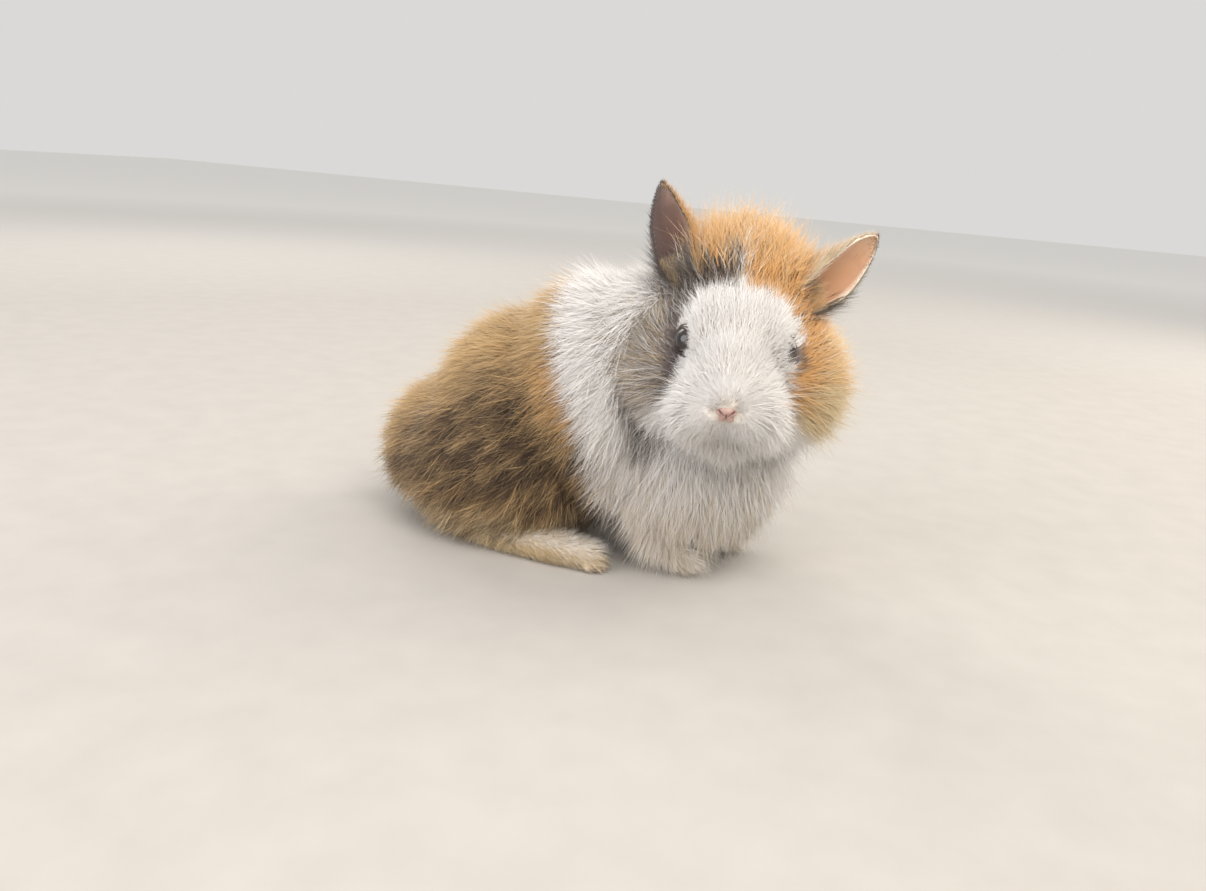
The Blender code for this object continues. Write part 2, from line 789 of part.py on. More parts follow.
def on_crown(place, normal):
    q = in_head(place)
    return q.z > CROWN_LOW and q.y > FACE_BACK


def on_cheeks(place, normal):
    q = in_head(place)
    return q.z <= CROWN_LOW and q.y > FACE_BACK


def on_bib(place, normal):
    return place.y < BIB_BACK


def on_back(place, normal):
    return BIB_BACK <= place.y < RUMP_FRONT and normal.z > BELLY


def on_rump(place, normal):
    return place.y >= RUMP_FRONT and normal.z > BELLY


def on_thigh(place, normal):
    return place.z > FOOT_TOP and abs(place.x) > THIGH_INSIDE


def on_front_leg(place, normal):
    return place.z > PAW_TOP


def anywhere(place, normal):
    return True


def wool(kind, where, lie):
    """A kind of lock with where it grows and how it lies: one direction, or one for each place."""
    return {**kind, "where": where, "lie": lie if callable(lie) else lambda place, normal: Vector(lie)}


def finish(obj, name, coat):
    """Names a node and its mesh, and gives it its one material."""
    obj.name = name
    obj.data.name = name
    obj.data.materials.clear()
    obj.data.materials.append(coat)
    return obj


def centre_on_floor(nodes):
    """Moves the rabbit so that the origin is on the floor under the middle of its box."""
    corners = [vertex.co for node in nodes for vertex in node.data.vertices]
    shift = Vector()
    for axis in (0, 1):
        along = [corner[axis] for corner in corners]
        shift[axis] = -(min(along) + max(along)) / 2
    for node in nodes:
        node.data.transform(Matrix.Translation(shift))


def main():
    clear_scene()
    rabbit = new_collection("lionhead_rabbit")
    scratch = new_collection("cutters")
    white = material("white_wool", WHITE, 0.85)
    fawn = material("fawn_wool", FAWN, 0.85)
    cream = material("cream_fur", CREAM, 0.85)
    ear_skin = material("ear_skin", EAR_PINK, 0.6)
    eye_dark = material("eye_dark", EYE_DARK, 0.1)

    rng = random.Random(SEED)
    head_cut = Plane(*HEAD_CUT)
    neck_cut = Plane(*NECK_CUT)
    floor = Plane((0, 0, FLOOR_CLEARANCE), (0, 0, 1))
    body = body_form(scratch)
    head = head_form(scratch)
    head_core = grown(head, 0, "head_core", scratch)
    boolean(head, "DIFFERENCE", [head_cut.flipped().block(scratch)])
    neck = grown(body, 0, "neck", rabbit)
    boolean(neck, "DIFFERENCE", [head_cut.block(scratch), neck_cut.flipped().block(scratch)])
    torso = grown(body, 0, "torso", rabbit)
    boolean(torso, "DIFFERENCE", [neck_cut.block(scratch), head_cut.block(scratch)])
    rabbit.objects.link(head)
    scratch.objects.unlink(head)

    nodes = []
    flesh = surface_of(body)
    off_flesh = Outside(flesh)
    torso_walls = [Layer(flesh, neck_cut, over=False), floor, Egg(*TAIL_ROOM)]
    ear_rooms = []
    legs = []
    for side, sign in (("right", -1), ("left", 1)):
        eye_middle = head_point((sign * EYE_MIDDLE[0], *EYE_MIDDLE[1:]))
        eye = ellipsoid(f"eye_{side}", eye_middle, (EYE_RADIUS,) * 3, rabbit, segments=18, rings=12)
        nodes.append(finish(eye, f"eye_{side}", eye_dark))

        shell = ear(f"ear_{side}", sign, EAR_TIP_RIGHT if sign < 0 else EAR_TIP_LEFT, rabbit)
        room = grown(shell, GAP, "ear_room", scratch)
        boolean(room, "DIFFERENCE", [grown(head_core, SLIVER, "head_room", scratch)])
        ear_rooms.append(room)
        boolean(shell, "DIFFERENCE", [grown(head_core, GAP, "head_room", scratch)])
        nodes.append(finish(shell, f"ear_{side}", ear_skin))

        points = FRONT_RIGHT if sign < 0 else FRONT_LEFT
        torso_walls.append(Balls(points, FRONT_ROOM))
        front, uncut = leg(f"front_leg_{side}", points, FRONT_RADII, (), body, FRONT_TRIANGLES,
                           rabbit, scratch)
        grow_locks(front, uncut, [wool(LEG_WOOL, on_front_leg, LEG_LIE)],
                   [floor, off_flesh, Balls(points, FRONT_ROOM, keep_in=True)], rng, scratch)
        legs.append(finish(front, f"front_leg_{side}", cream))

        points = [(sign * x, y, z) for x, y, z in HIND_FOOT]
        torso_walls.append(Balls(points, HIND_FOOT_RADII))
        thigh = ((sign * THIGH[0][0], *THIGH[0][1:]), THIGH[1])
        hind, uncut = leg(f"hind_leg_{side}", points, HIND_FOOT_RADII, (thigh,), body, HIND_TRIANGLES,
                          rabbit, scratch)
        room = ((sign * THIGH_ROOM[0][0], *THIGH_ROOM[0][1:]), THIGH_ROOM[1])
        torso_walls.append(Egg(*room))
        grow_locks(hind, uncut, [wool(THIGH_WOOL, on_thigh, THIGH_LIE)],
                   [floor, off_flesh, Egg(*room, keep_in=True)], rng, scratch)
        legs.append(finish(hind, f"hind_leg_{side}", cream))

    tail = blended("tail", [ellipsoid("tail", *TAIL, scratch)], rabbit, voxel=1.5, smoothing=2,
                   triangles=TAIL_TRIANGLES)
    uncut = surface_of(tail)
    boolean(tail, "DIFFERENCE", [grown(body, GAP, "torso_room", scratch)])
    grow_locks(tail, uncut, [wool(TAIL_WOOL, anywhere, TAIL_LIE)],
               [floor, off_flesh, Egg(*TAIL_ROOM, keep_in=True)], rng, scratch)
    grow_locks(torso, flesh, [wool(BIB_WOOL, on_bib, BIB_LIE), wool(BACK_WOOL, on_back, BACK_LIE),
                              wool(RUMP_WOOL, on_rump, BACK_LIE)], torso_walls, rng, scratch,
               neighbours=[*legs, tail])
    neck_walls = [Layer(flesh, head_cut, over=False), Layer(flesh, neck_cut, over=True), floor]
    grow_locks(neck, flesh, [wool(MANE_WOOL, anywhere, MANE_LIE)], neck_walls, rng, scratch,
               neighbours=[*legs, torso])
    head_walls = [Layer(flesh, head_cut, over=True), floor, *eye_clearings()]
    head_kinds = [wool(CROWN_WOOL, on_crown, head_lie), wool(CHEEK_WOOL, on_cheeks, head_lie)]
    grow_locks(head, surface_of(head_core), head_kinds, head_walls, rng, scratch,
               neighbours=[torso, neck], rooms=ear_rooms)
    nodes += [*legs, finish(tail, "tail", fawn), finish(torso, "torso", fawn),
              finish(neck, "neck", white), finish(head, "head", white)]

    for leftover in list(scratch.objects):
        bpy.data.objects.remove(leftover)
    centre_on_floor(nodes)


main()
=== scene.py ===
"""A young lionhead rabbit in its first coat, sitting with its head turned to its right.

Sizes are in millimetres in the rabbit's own frame: the body heads along -Y, its left is +X and
the floor is at z 0. The head has a frame of its own, in which it faces -Y. Pieces are shifted to
the model's origin when their mesh is made.
"""
import math

import bmesh
import bpy
import numpy as np
from mathutils import Matrix, Vector
from mathutils.kdtree import KDTree


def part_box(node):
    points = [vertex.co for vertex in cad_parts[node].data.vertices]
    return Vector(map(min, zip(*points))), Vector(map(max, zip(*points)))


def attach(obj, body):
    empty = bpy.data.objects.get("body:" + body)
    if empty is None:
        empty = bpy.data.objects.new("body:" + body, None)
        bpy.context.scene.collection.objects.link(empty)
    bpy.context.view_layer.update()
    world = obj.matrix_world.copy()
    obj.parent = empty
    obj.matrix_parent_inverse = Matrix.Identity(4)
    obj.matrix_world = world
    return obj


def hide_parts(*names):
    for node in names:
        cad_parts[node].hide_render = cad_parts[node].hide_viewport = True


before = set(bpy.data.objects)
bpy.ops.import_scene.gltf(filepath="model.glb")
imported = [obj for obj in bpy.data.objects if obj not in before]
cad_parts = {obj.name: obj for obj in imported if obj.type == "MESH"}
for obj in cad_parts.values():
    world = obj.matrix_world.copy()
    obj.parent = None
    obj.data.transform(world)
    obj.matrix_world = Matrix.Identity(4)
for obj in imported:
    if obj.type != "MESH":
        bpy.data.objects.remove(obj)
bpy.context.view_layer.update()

MM = 0.001
SEED = 11
SIDES = (-1, 1)  # the rabbit's right and left

# The body's forms: middle, then half width, half length and half height
TRUNK = (
    ((0, 34, 26), (25, 33, 24)),
    ((0, 14, 41), (27, 32, 33)),
    ((-1, -12, 55), (26, 29, 34)),
    ((-1, -43, 45), (22, 25, 31)),
    ((-3, -34, 72), (21, 21, 22)),
    ((-12, -52, 76), (18, 18, 18)),
)
TAIL = ((0, 62, 24), (7, 7, 9))
THIGHS = tuple(((sign * 20, 21, 27), (12.5, 26.5, 24.5)) for sign in SIDES)
HIND_FOOT = ((28, 20, 4.8), (30, -2, 4.6), (29.5, -18, 4.2))
HIND_FOOT_RADII = (5.2, 5.4, 4.8)
FRONT_RIGHT = ((-12, -33, 28), (-13, -41, 14), (-14, -46, 5))
FRONT_LEFT = ((11, -36, 28), (13.5, -48, 14), (15, -53, 5))
FRONT_RADII = (8.6, 6.2, 5.3)
TOES = 4
TOE_RADIUS = 2.1
TOE_SPREAD = 2.5
TOE_REACH = 3.6

# The head's forms, in its own frame
HEAD_MIDDLE = np.array((-20.0, -59.0, 79.0))
HEAD_TURN = math.radians(-78)
HEAD_DROOP = math.radians(10)
HEAD_FORMS = (
    ((0, 4, 4), (20, 20, 20)),
    ((0, 6, 10), (15, 15, 18)),
    ((0, -6, 6.5), (16.5, 14, 13)),
    ((0, 1, -11), (15, 16, 12)),
    ((0, -19, -6.5), (10.5, 12, 10)),
    ((0, -18, 1.5), (8.5, 8.5, 7.5)),
    ((0, -27, -4.5), (5, 6.5, 4.5)),
    ((0, -20, -14.5), (6, 7.5, 4.5)),
)
HEAD_PAIRS = (
    ((13.5, 2, -5), (13, 15, 14.5)),
    ((4.8, -25.5, -9.5), (5.8, 6.6, 5.6)),
)
HEAD_BALLS = (*HEAD_FORMS, *HEAD_PAIRS,
              *(((-middle[0], *middle[1:]), radii) for middle, radii in HEAD_PAIRS))
# A plane between head and trunk: a point on it, and the way to the trunk's side
HEAD_CUT = ((-12, -54.5, 70), (0.62, 0.35, -0.7))
NOSE = np.array((0.0, -31.8, -6.8))
EYE = np.array((13.3, -9.9, 5.7))
CAD_EYE = np.array((-12.6, -9.8, 5.5))
EYE_RADIUS = 5.4
# The ways that the eyes look, and how wide the coat opens round each
EYE_WAYS = {-1: (-0.82, -0.56, 0.12), 1: (0.97, -0.2, 0.12)}
EYE_OPENINGS = {-1: 3.9, 1: 3.0}
EYE_ROOM = 0.15
EYE_REACH = 25

NOSE_FORMS = (
    ((0, -31.5, -6.6), (2.5, 2.2, 1.6)),
    ((0, -32.1, -7.7), (1.4, 1.7, 1.5)),
    ((1.8, -31.3, -7.1), (1.4, 1.8, 1.3)),
    ((-1.8, -31.3, -7.1), (1.4, 1.8, 1.3)),
    ((1.3, -30.2, -9.3), (1.4, 1.8, 1.6)),
    ((-1.3, -30.2, -9.3), (1.4, 1.8, 1.6)),
)
# The cleft and the two nostrils: start, end, width and depth
NOSE_GROOVES = (
    ((0, -34, -7.6), (0, -33, -11.6), 0.35, 0.8),
    ((-0.7, -34, -8.0), (-2.5, -33, -6.5), 0.36, 0.9),
    ((0.7, -34, -8.0), (2.5, -33, -6.5), 0.36, 0.9),
)
NOSE_FACE = -27.5

# The skin's grid, its rounds of smoothing and its triangles, and the same for the nose
SKIN_VOXEL, SKIN_ROUNDS, SKIN_TRIANGLES = 1.1, 7, 52000
NOSE_VOXEL, NOSE_ROUNDS = 0.22, 6
FACE_ROUNDS = 40
NORMAL_ROUNDS = 12

# Ears: a shell cupped by its bend, which is half the angle that it goes round, at root and tip
EAR_LENGTH = 40
EAR_WIDTH = 20
EAR_THICKNESS = 1.3
EAR_BEND_ROOT = 1.9
EAR_BEND_TIP = 0.6
EAR_LEAN = 2.5
EAR_ROOT_WIDTH = 0.55
EAR_WIDEST = 0.45
EAR_POINT = 1.7
EAR_TIPS = {-1: (-30, 12, 48), 1: (41, 17, 36)}
EAR_ROOT = (11.5, 5, 15)
EAR_BACK = (0.35, 1, 0.25)
EAR_ROWS, EAR_COLUMNS = 44, 28
EAR_STEP = 0.01
EAR_HAIRS = 3400
RIM_SHARE = 0.3
# The hairs in each ear's cup, and how far up it they grow
CUP_HAIRS = {-1: (1300, 0.3), 1: (700, 0.16)}
EAR_HAIR_WIDTH = 0.22
EAR_TUFTS = {"hang": 0, "per_lock": 8, "pull": 0.25, "soft": 0.15}

# Frames and placing


def rotation(axis, angle):
    return np.array(Matrix.Rotation(angle, 3, axis))


HEAD_AXES = rotation("Z", HEAD_TURN) @ rotation("X", HEAD_DROOP)


def to_head(points):
    return (np.asarray(points, float) - HEAD_MIDDLE) @ HEAD_AXES


def from_head(points):
    return np.asarray(points, float) @ HEAD_AXES.T + HEAD_MIDDLE


def eye_middle(sign):
    return EYE * (sign, 1, 1)


def box_middle(node):
    low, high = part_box(node)
    return np.array([(a + b) / 2 for a, b in zip(low, high)]) / MM


SHIFT = box_middle("eye_right") - from_head(CAD_EYE)
HEAD_PLACE = Matrix.Translation(Vector((HEAD_MIDDLE + SHIFT) * MM)) @ Matrix(HEAD_AXES).to_4x4()


def unit(vectors):
    vectors = np.asarray(vectors, float)
    length = np.linalg.norm(vectors, axis=-1, keepdims=True)
    return vectors / np.maximum(length, 1e-9)


def blend(low, high, value):
    """0 below low, 1 above high and an even curve between them."""
    share = np.clip((np.asarray(value, float) - low) / (high - low), 0, 1)
    return share * share * (3 - 2 * share)


def waves(points, size, seed):
    """A smooth random field from about -1 to 1, with bumps about that many millimetres apart."""
    draw = np.random.default_rng(seed)
    total = np.zeros(len(points))
    for _ in range(6):
        way = unit(draw.normal(size=3)) * 2 * math.pi / size * draw.uniform(0.6, 1.5)
        total += np.sin(points @ way + draw.uniform(0, 2 * math.pi))
    return total / 2.4


def mesh_piece(name, points, faces):
    """A piece from points in millimetres and lists of corners."""
    places = (np.asarray(points) + SHIFT) * MM
    mesh = bpy.data.meshes.new(name)
    mesh.from_pydata(places.tolist(), [], [list(map(int, face)) for face in faces])
    mesh.update()
    piece = bpy.data.objects.new(name, mesh)
    bpy.context.scene.collection.objects.link(piece)
    return piece


def smooth(piece):
    piece.data.polygons.foreach_set("use_smooth", [True] * len(piece.data.polygons))
    return piece


def read(items, field, width, kind=float):
    """One value of each of a mesh's items, as rows."""
    values = np.empty(len(items) * width, kind)
    items.foreach_get(field, values)
    return values.reshape(-1, width)


def surface(mesh):
    """A mesh's points in millimetres, its normals and its triangles."""
    mesh.calc_loop_triangles()
    points = read(mesh.vertices, "co", 3) / MM - SHIFT
    normals = read(mesh.vertex_normals, "vector", 3)
    return points, normals, read(mesh.loop_triangles, "vertices", 3, int)


# Markings: how much fawn, orange, dark and cream hair grows at each place; the rest is white


def face_height(q):
    """How far up the face a place is, square to the line from the nose to the crown."""
    return q[:, 2] * 0.906 + q[:, 1] * 0.423


# The blaze's edges: height up the face, and distance from its middle line
BLAZE_RIGHT = ((-40, 40), (-28, 32), (-23.5, 26), (-17.6, 20.5), (-11, 17), (-5, 15.8),
               (0.5, 15.8), (8, 18), (12.5, 17.5), (15, 15), (17.5, 9), (19.2, 0))
BLAZE_LEFT = ((-40, 40), (-24, 28), (-20, 19.5), (-13, 20), (-7, 17.5), (-1.5, 18.5),
              (8.7, 20), (12.5, 16.7), (15, 14), (17.5, 8), (19.2, 0))


def head_marks(q):
    """Blaze, grey right side of the face, orange crown and left side, from the head's own frame."""
    x, y, z = q.T
    ragged = waves(q, 9, 1) * 1.2 + waves(q, 3.5, 2) * 0.8
    up = face_height(q)
    right = blend(1.5, -1.5, x + ragged)
    edge_right, edge_left = (np.interp(up, *zip(*edge)) for edge in (BLAZE_RIGHT, BLAZE_LEFT))
    white = blend(-1.6, 1.6, np.where(x < 0, edge_right + x, edge_left - x) + ragged)
    white = white * (1 - blend(2, 9, y) * blend(-12, 0, z))
    white = np.maximum(white, 0.95 * blend(6, 14, y) * blend(2, -8, z))
    crown = blend(0, 3.5, up + ragged * 1.4 - 24 - 4 * blend(4, -5, x))
    patch = blend(4, -5, x + ragged * 1.5) * blend(15.5, 17.5, up) * (1 - crown)
    grey = right * (0.5 + 0.48 * blend(26, 18, -x)) * (1 - 0.85 * blend(2, 14, y))
    dark = np.maximum(grey * (1 - blend(15, 18, up)), 0.84 * patch) * (1 - crown)
    eye_ring = blend(8, 5.5, np.linalg.norm(q - EYE - (4, 1, -1), axis=1))
    dark = np.clip(dark + 0.6 * eye_ring, 0, 0.97)
    pale = blend(24, 31, x + ragged) * 0.55
    streak = blend(27, 24, x) * blend(-19, -16, up)
    low = (1 - right) * np.clip(blend(-6, -12, up + ragged) - 0.8 * streak, 0, 1)
    warm = np.clip(1 - right + crown, 0, 1)
    cream = np.clip(low * 0.95 + pale * (1 - right), 0, 0.95) * warm + 0.45 * (1 - warm)
    rest = (1 - white) * (1 - dark)
    cream = np.clip(cream + 0.25 * crown, 0, 0.95)
    # Round the nose the fur is dulled and darkened: partly its own mauve tint and partly painted
    # shade, which tones down the light that the short fur there catches
    bare = blend(7, 3.5, np.linalg.norm(q - NOSE, axis=1))
    return np.stack((0.1 * bare, rest * (1 - cream) * 0.93 * warm,
                     (1 - white) * dark + 0.12 * bare, rest * cream + 0.1 * bare), axis=1)


def body_marks(p):
    """White collar and chest, golden back, ticked brown flanks, tan haunches and cream feet."""
    x, y, z = p.T
    ragged = waves(p, 16, 3) * 1.8 + waves(p, 5, 4) * 1.4
    edge = np.interp(z, (10, 31, 50, 65, 79, 92), (-16, -18, -15, -6, 1, 5))
    white = blend(2.2, -2.2, y - edge + ragged)
    spine = np.interp(y, (-20, 0, 22, 42, 58, 68), (96, 92, 84, 72, 61, 50))
    below = spine - z + ragged
    streaks = waves(p * (1, 0.4, 0.7), 5, 5) + 0.6 * waves(p * (1, 0.4, 0.7), 2.4, 6)
    deep = blend(10, 38, below) * (0.74 + 0.34 * streaks)
    haunch = blend(24, 12, z + ragged) * blend(-14, -2, y)
    # Painted shade: the fur is darkened low under the belly, between the legs, where the body
    # shades it
    belly = blend(17, 12, np.abs(x)) * blend(20, 12, z)
    dark = np.clip(deep * (1 - 0.45 * haunch) + 0.1 * blend(0, 8, below) + 0.5 * belly, 0, 0.97)
    patch = blend(13, 5, np.hypot((y - edge - 7) * 0.9, (z - 57) * 0.7))
    dark = dark * (1 - 0.55 * patch)
    cream = (1 - dark) * blend(20, 8, z + ragged) * 0.8
    orange = (1 - dark - cream).clip(0, 1) * (0.5 * patch + 0.2 * haunch)
    fawn = (1 - dark - cream - orange).clip(0, 1)
    # Grey cheek fur hangs over the collar on the right
    share = np.clip((66 - z) / 18, 0, 1)
    fold = np.stack((-30 + 3 * share, -33 - share, 66 - 18 * share), axis=1)
    jowl = 0.6 * blend(11, 4, np.linalg.norm(p - fold, axis=1) + ragged)
    shares = np.stack((fawn, orange, dark, cream), axis=1) * (1 - white)[:, None]
    # Low on the chest the white turns warmer and darker: partly a cream tint of the fur and partly
    # painted shade
    bib = white * blend(58, 12, z) * 0.5
    shares = shares + bib[:, None] * np.array((0.3, 0, 0.1, 0.5))
    return shares * (1 - jowl)[:, None] + np.array((0, 0, 1, 0)) * jowl[:, None]


def foot_marks(p):
    """Pale feet: tan soles and heels under white tops on the hind feet, white front feet."""
    x, y, z = p.T
    hind = blend(-32, -24, y)
    tan = hind * (0.95 - 0.4 * blend(4, 8, z)) * (1 - 0.2 * blend(-6, -16, y)) + (1 - hind) * 0.4
    nothing = np.zeros_like(x)
    return np.stack((tan * 0.12, nothing, nothing, tan * 0.88), axis=1)


def marks(p, kind):
    """Colour shares at places of the rabbit's frame, from the part that each place belongs to."""
    made = body_marks(p)
    head = kind == HEAD
    made[head] = head_marks(to_head(p[head]))
    foot = (kind == FOOT)
    share = blend(17, 10, p[foot][:, 2])[:, None]
    made[foot] = made[foot] * (1 - share) + foot_marks(p[foot]) * share
    return made


def cool_share(p, kind):
    """How far dark hair is blue grey, as on the face, and not brown, as on the back."""
    q = to_head(p)
    below_crown = 0.25 + 0.75 * blend(20, 14, face_height(q))
    return (kind == HEAD) * below_crown * (0.6 + 0.4 * blend(28, 20, -q[:, 0]))


# Forms as measures, to tell which part a place belongs to

TRUNK_PART, HEAD, LEG, FOOT, TAIL_PART = range(5)
LEG_STEPS = 6


def feet():
    """The middle line and radii of each hind foot and front leg."""
    for sign in SIDES:
        yield [(sign * x, y, z) for x, y, z in HIND_FOOT], HIND_FOOT_RADII
        yield FRONT_RIGHT if sign < 0 else FRONT_LEFT, FRONT_RADII


def limb_balls():
    """Every ball of the feet and lower legs, right and left."""
    for points, radii in feet():
        for a, b, r, s in zip(points, points[1:], radii, radii[1:]):
            for step in range(LEG_STEPS + 1):
                share = step / LEG_STEPS
                middle = np.array(a) * (1 - share) + np.array(b) * share
                yield tuple(middle), (r + (s - r) * share,) * 3


def toe_places(points):
    """Middles of the toes in front of a foot's end, and the way that they point."""
    end = np.array(points[-1], float)
    ahead = end - np.array(points[-2], float)
    ahead[2] = 0
    ahead = unit(ahead)
    across = np.array((-ahead[1], ahead[0], 0))
    places = []
    for toe in range(TOES):
        offset = toe - (TOES - 1) / 2
        place = end + ahead * (TOE_REACH - abs(offset) * 0.9) + across * offset * TOE_SPREAD
        place[2] = TOE_RADIUS
        places.append(place)
    return places, ahead


def depth_in(p, forms):
    """How far places are from the nearest of some forms, in millimetres, less than 0 inside."""
    best = np.full(len(p), 1e9)
    for middle, radii in forms:
        scaled = np.linalg.norm((p - np.array(middle)) / np.array(radii), axis=1)
        best = np.minimum(best, (scaled - 1) * min(radii))
    return best


def parts_of(p):
    """The part that each place belongs to: the form that it is nearest to."""
    to_cut = (p - np.array(HEAD_CUT[0])) @ unit(HEAD_CUT[1])
    head = depth_in(to_head(p), HEAD_BALLS)
    near = np.stack((
        depth_in(p, TRUNK) + np.where(to_cut < 0, 6, 0),
        np.where(to_cut < 2, head, head + 20),
        depth_in(p, THIGHS),
        depth_in(p, limb_balls()),
        depth_in(p, [TAIL]),
    ), axis=1)
    return near.argmin(axis=1)


# The skin under the coat


def ball(work, place, middle, radii):
    """A ball in a frame that is placed in the model, with its middle in metres."""
    made = bmesh.ops.create_icosphere(work, subdivisions=4, radius=1)
    shape = Matrix.Translation(middle) @ Matrix.Diagonal((*(np.array(radii) * MM), 1))
    bmesh.ops.transform(work, verts=made["verts"], matrix=place @ shape)


def body_ball(work, middle, radii):
    ball(work, Matrix(), (np.array(middle) + SHIFT) * MM, radii)


def head_ball(work, middle, radii):
    ball(work, HEAD_PLACE, Vector(middle) * MM, radii)


def applied(piece):
    """The piece's mesh with its modifiers, which then go."""
    bpy.context.view_layer.update()
    shaped = piece.evaluated_get(bpy.context.evaluated_depsgraph_get())
    mesh = bpy.data.meshes.new_from_object(shaped)
    piece.modifiers.clear()
    piece.data = mesh
    return piece


def grown_together(name, work, voxel, rounds, triangles=None):
    """One closed soft form from overlapping balls."""
    mesh = bpy.data.meshes.new(name)
    work.to_mesh(mesh)
    work.free()
    piece = bpy.data.objects.new(name, mesh)
    bpy.context.scene.collection.objects.link(piece)
    remesh = piece.modifiers.new("one form", "REMESH")
    remesh.mode = "VOXEL"
    remesh.voxel_size = voxel * MM
    soft = piece.modifiers.new("soft", "SMOOTH")
    soft.iterations = rounds
    applied(piece)
    if triangles:
        piece.data.calc_loop_triangles()
        fewer = piece.modifiers.new("fewer", "DECIMATE")
        fewer.ratio = min(1, triangles / len(piece.data.loop_triangles))
        fewer.use_collapse_triangulate = True
        applied(piece)
    return smooth(piece)


def make_skin():
    """Trunk, head, legs, feet and tail as one skin, a coat's depth inside the outline."""
    work = bmesh.new()
    for middle, radii in (*TRUNK, TAIL, *limb_balls(), *THIGHS):
        body_ball(work, middle, radii)
    for line, _ in feet():
        for place in toe_places(line)[0]:
            body_ball(work, place, (TOE_RADIUS,) * 3)
    for middle, radii in HEAD_BALLS:
        head_ball(work, middle, radii)
    skin = grown_together("skin", work, SKIN_VOXEL, SKIN_ROUNDS, SKIN_TRIANGLES)
    soften_face(skin)
    return skin


def neighbours(triangles, total):
    """The two ends of each edge of the triangles, and how many ends each point has."""
    a, b, c = triangles.T
    starts, ends = np.concatenate((a, b, c, b, c, a)), np.concatenate((b, c, a, a, b, c))
    return starts, ends, np.maximum(np.bincount(starts, minlength=total), 1)[:, None]


def neighbour_mean(values, edges):
    """Each point's mean of the values round it."""
    starts, ends, count = edges
    sums = [np.bincount(starts, values[ends, k], len(values)) for k in range(3)]
    return np.stack(sums, axis=1) / count


def soften_face(skin):
    """Fills the hollows between brow, cheeks and muzzle, which a kit hardly has, and levels the
    soles."""
    mesh = skin.data
    points, out, triangles = surface(mesh)
    edges = neighbours(triangles, len(points))
    q = to_head(points)
    face = blend(10, 0, q[:, 1]) * blend(3, 6, np.linalg.norm(q - NOSE, axis=1))
    face = face * (parts_of(points) == HEAD)
    for sign in SIDES:
        face = face * blend(5, 8, np.linalg.norm(q - eye_middle(sign), axis=1))
    for _ in range(FACE_ROUNDS):
        rise = ((neighbour_mean(points, edges) - points) * out).sum(axis=1)
        points = points + out * (np.maximum(rise, 0) * face)[:, None]
    points[:, 2] = np.maximum(points[:, 2], 0)
    mesh.vertices.foreach_set("co", ((points + SHIFT) * MM).ravel())
    mesh.update()


class Ground:
    """The skin's triangles in millimetres, from which the coat grows."""

    def __init__(self, skin):
        self.points, normals, self.triangles = surface(skin.data)
        edges = neighbours(self.triangles, len(self.points))
        for _ in range(NORMAL_ROUNDS):
            normals = unit(normals + neighbour_mean(normals, edges))
        self.normals = normals
        self.kind = parts_of(self.points)
        self.middles = self.points[self.triangles].mean(axis=1)
        self.triangle_kind = parts_of(self.middles)


# The coat


def colour_layers(shares):
    """Shares of fawn, orange, dark and cream, as the amounts of colours laid one over another."""
    fawn, orange, dark, cream = shares.T
    left = 1 - cream
    over_dark = dark / np.maximum(left, 1e-4)
    left = left - dark
    over_orange = orange / np.maximum(left, 1e-4)
    left = left - orange
    over_fawn = fawn / np.maximum(left, 1e-4)
    return np.clip(np.stack((over_fawn, over_orange, over_dark, cream), axis=1), 0, 1)


def hair_shares(shares, draw, choice=0.72):
    """Shares for each hair: mostly one colour, drawn by the shares of its place."""
    white = 1 - shares.sum(axis=1, keepdims=True)
    whole = np.concatenate((shares, white), axis=1).clip(1e-4, 1)
    pick = (np.log(whole) + draw.gumbel(size=whole.shape) * 0.8).argmax(axis=1)
    chosen = np.eye(5)[pick][:, :4]
    return shares * (1 - choice) + chosen * choice


def set_attribute(mesh, name, kind, domain, field, values):
    attribute = mesh.attributes.new(name, kind, domain)
    attribute.data.foreach_set(field, np.ascontiguousarray(values, np.float32).ravel())


# The side of a tuft's patch on the map, the place of its middle ring, and how deep it is rooted
TUFT_PATCH = 0.003
MIDDLE = 0.42
ROOT_SINK = 0.8
# How close to the floor a tuft's places start to ease up, and the least that they keep off it
FLOOR_EASE, FLOOR_ROOM = 1.2, 0.25
# How far a tuft's light is the soft whole's, and how far along a tuft its marks are read
SOFT_LIGHT = 0.7
SEEN = 0.65

# Where the three places of a tuft's middle line are along it
STEPS = np.array((0, MIDDLE, 1))[None, :, None]


def tuft_form(stem, ring, tips, along, across):
    """A tuft's faces, with three points on the ring's three corners and their core, and how far
    each of its corners is along and across it."""
    faces = [(0, 1, 2), *stem]
    for c in range(3):
        a, b, tip, core = ring + c, ring + (c + 1) % 3, tips + c, tips - 1
        faces += [(a, tip, b), (b, tip, core), (core, tip, a)]
    return {"faces": faces, "along": np.array(along), "across": np.array(across)}


# A lock is a three-sided stem that parts into three points, a fan three straight points on one root
LOCK = tuft_form([(c, 3 + c, 3 + (c + 1) % 3, (c + 1) % 3) for c in range(3)], 3, 7,
                 (0, 0, 0, MIDDLE, MIDDLE, MIDDLE, MIDDLE, 1, 1, 1),
                 (0, 0.5, 1, 0, 0.5, 1, 0.5, 0.25, 0.75, 0.5))
FAN = tuft_form([], 0, 4, (0, 0, 0, 0.1, 1, 1, 1), (0, 0.5, 1, 0.5, 0.25, 0.75, 0.5))


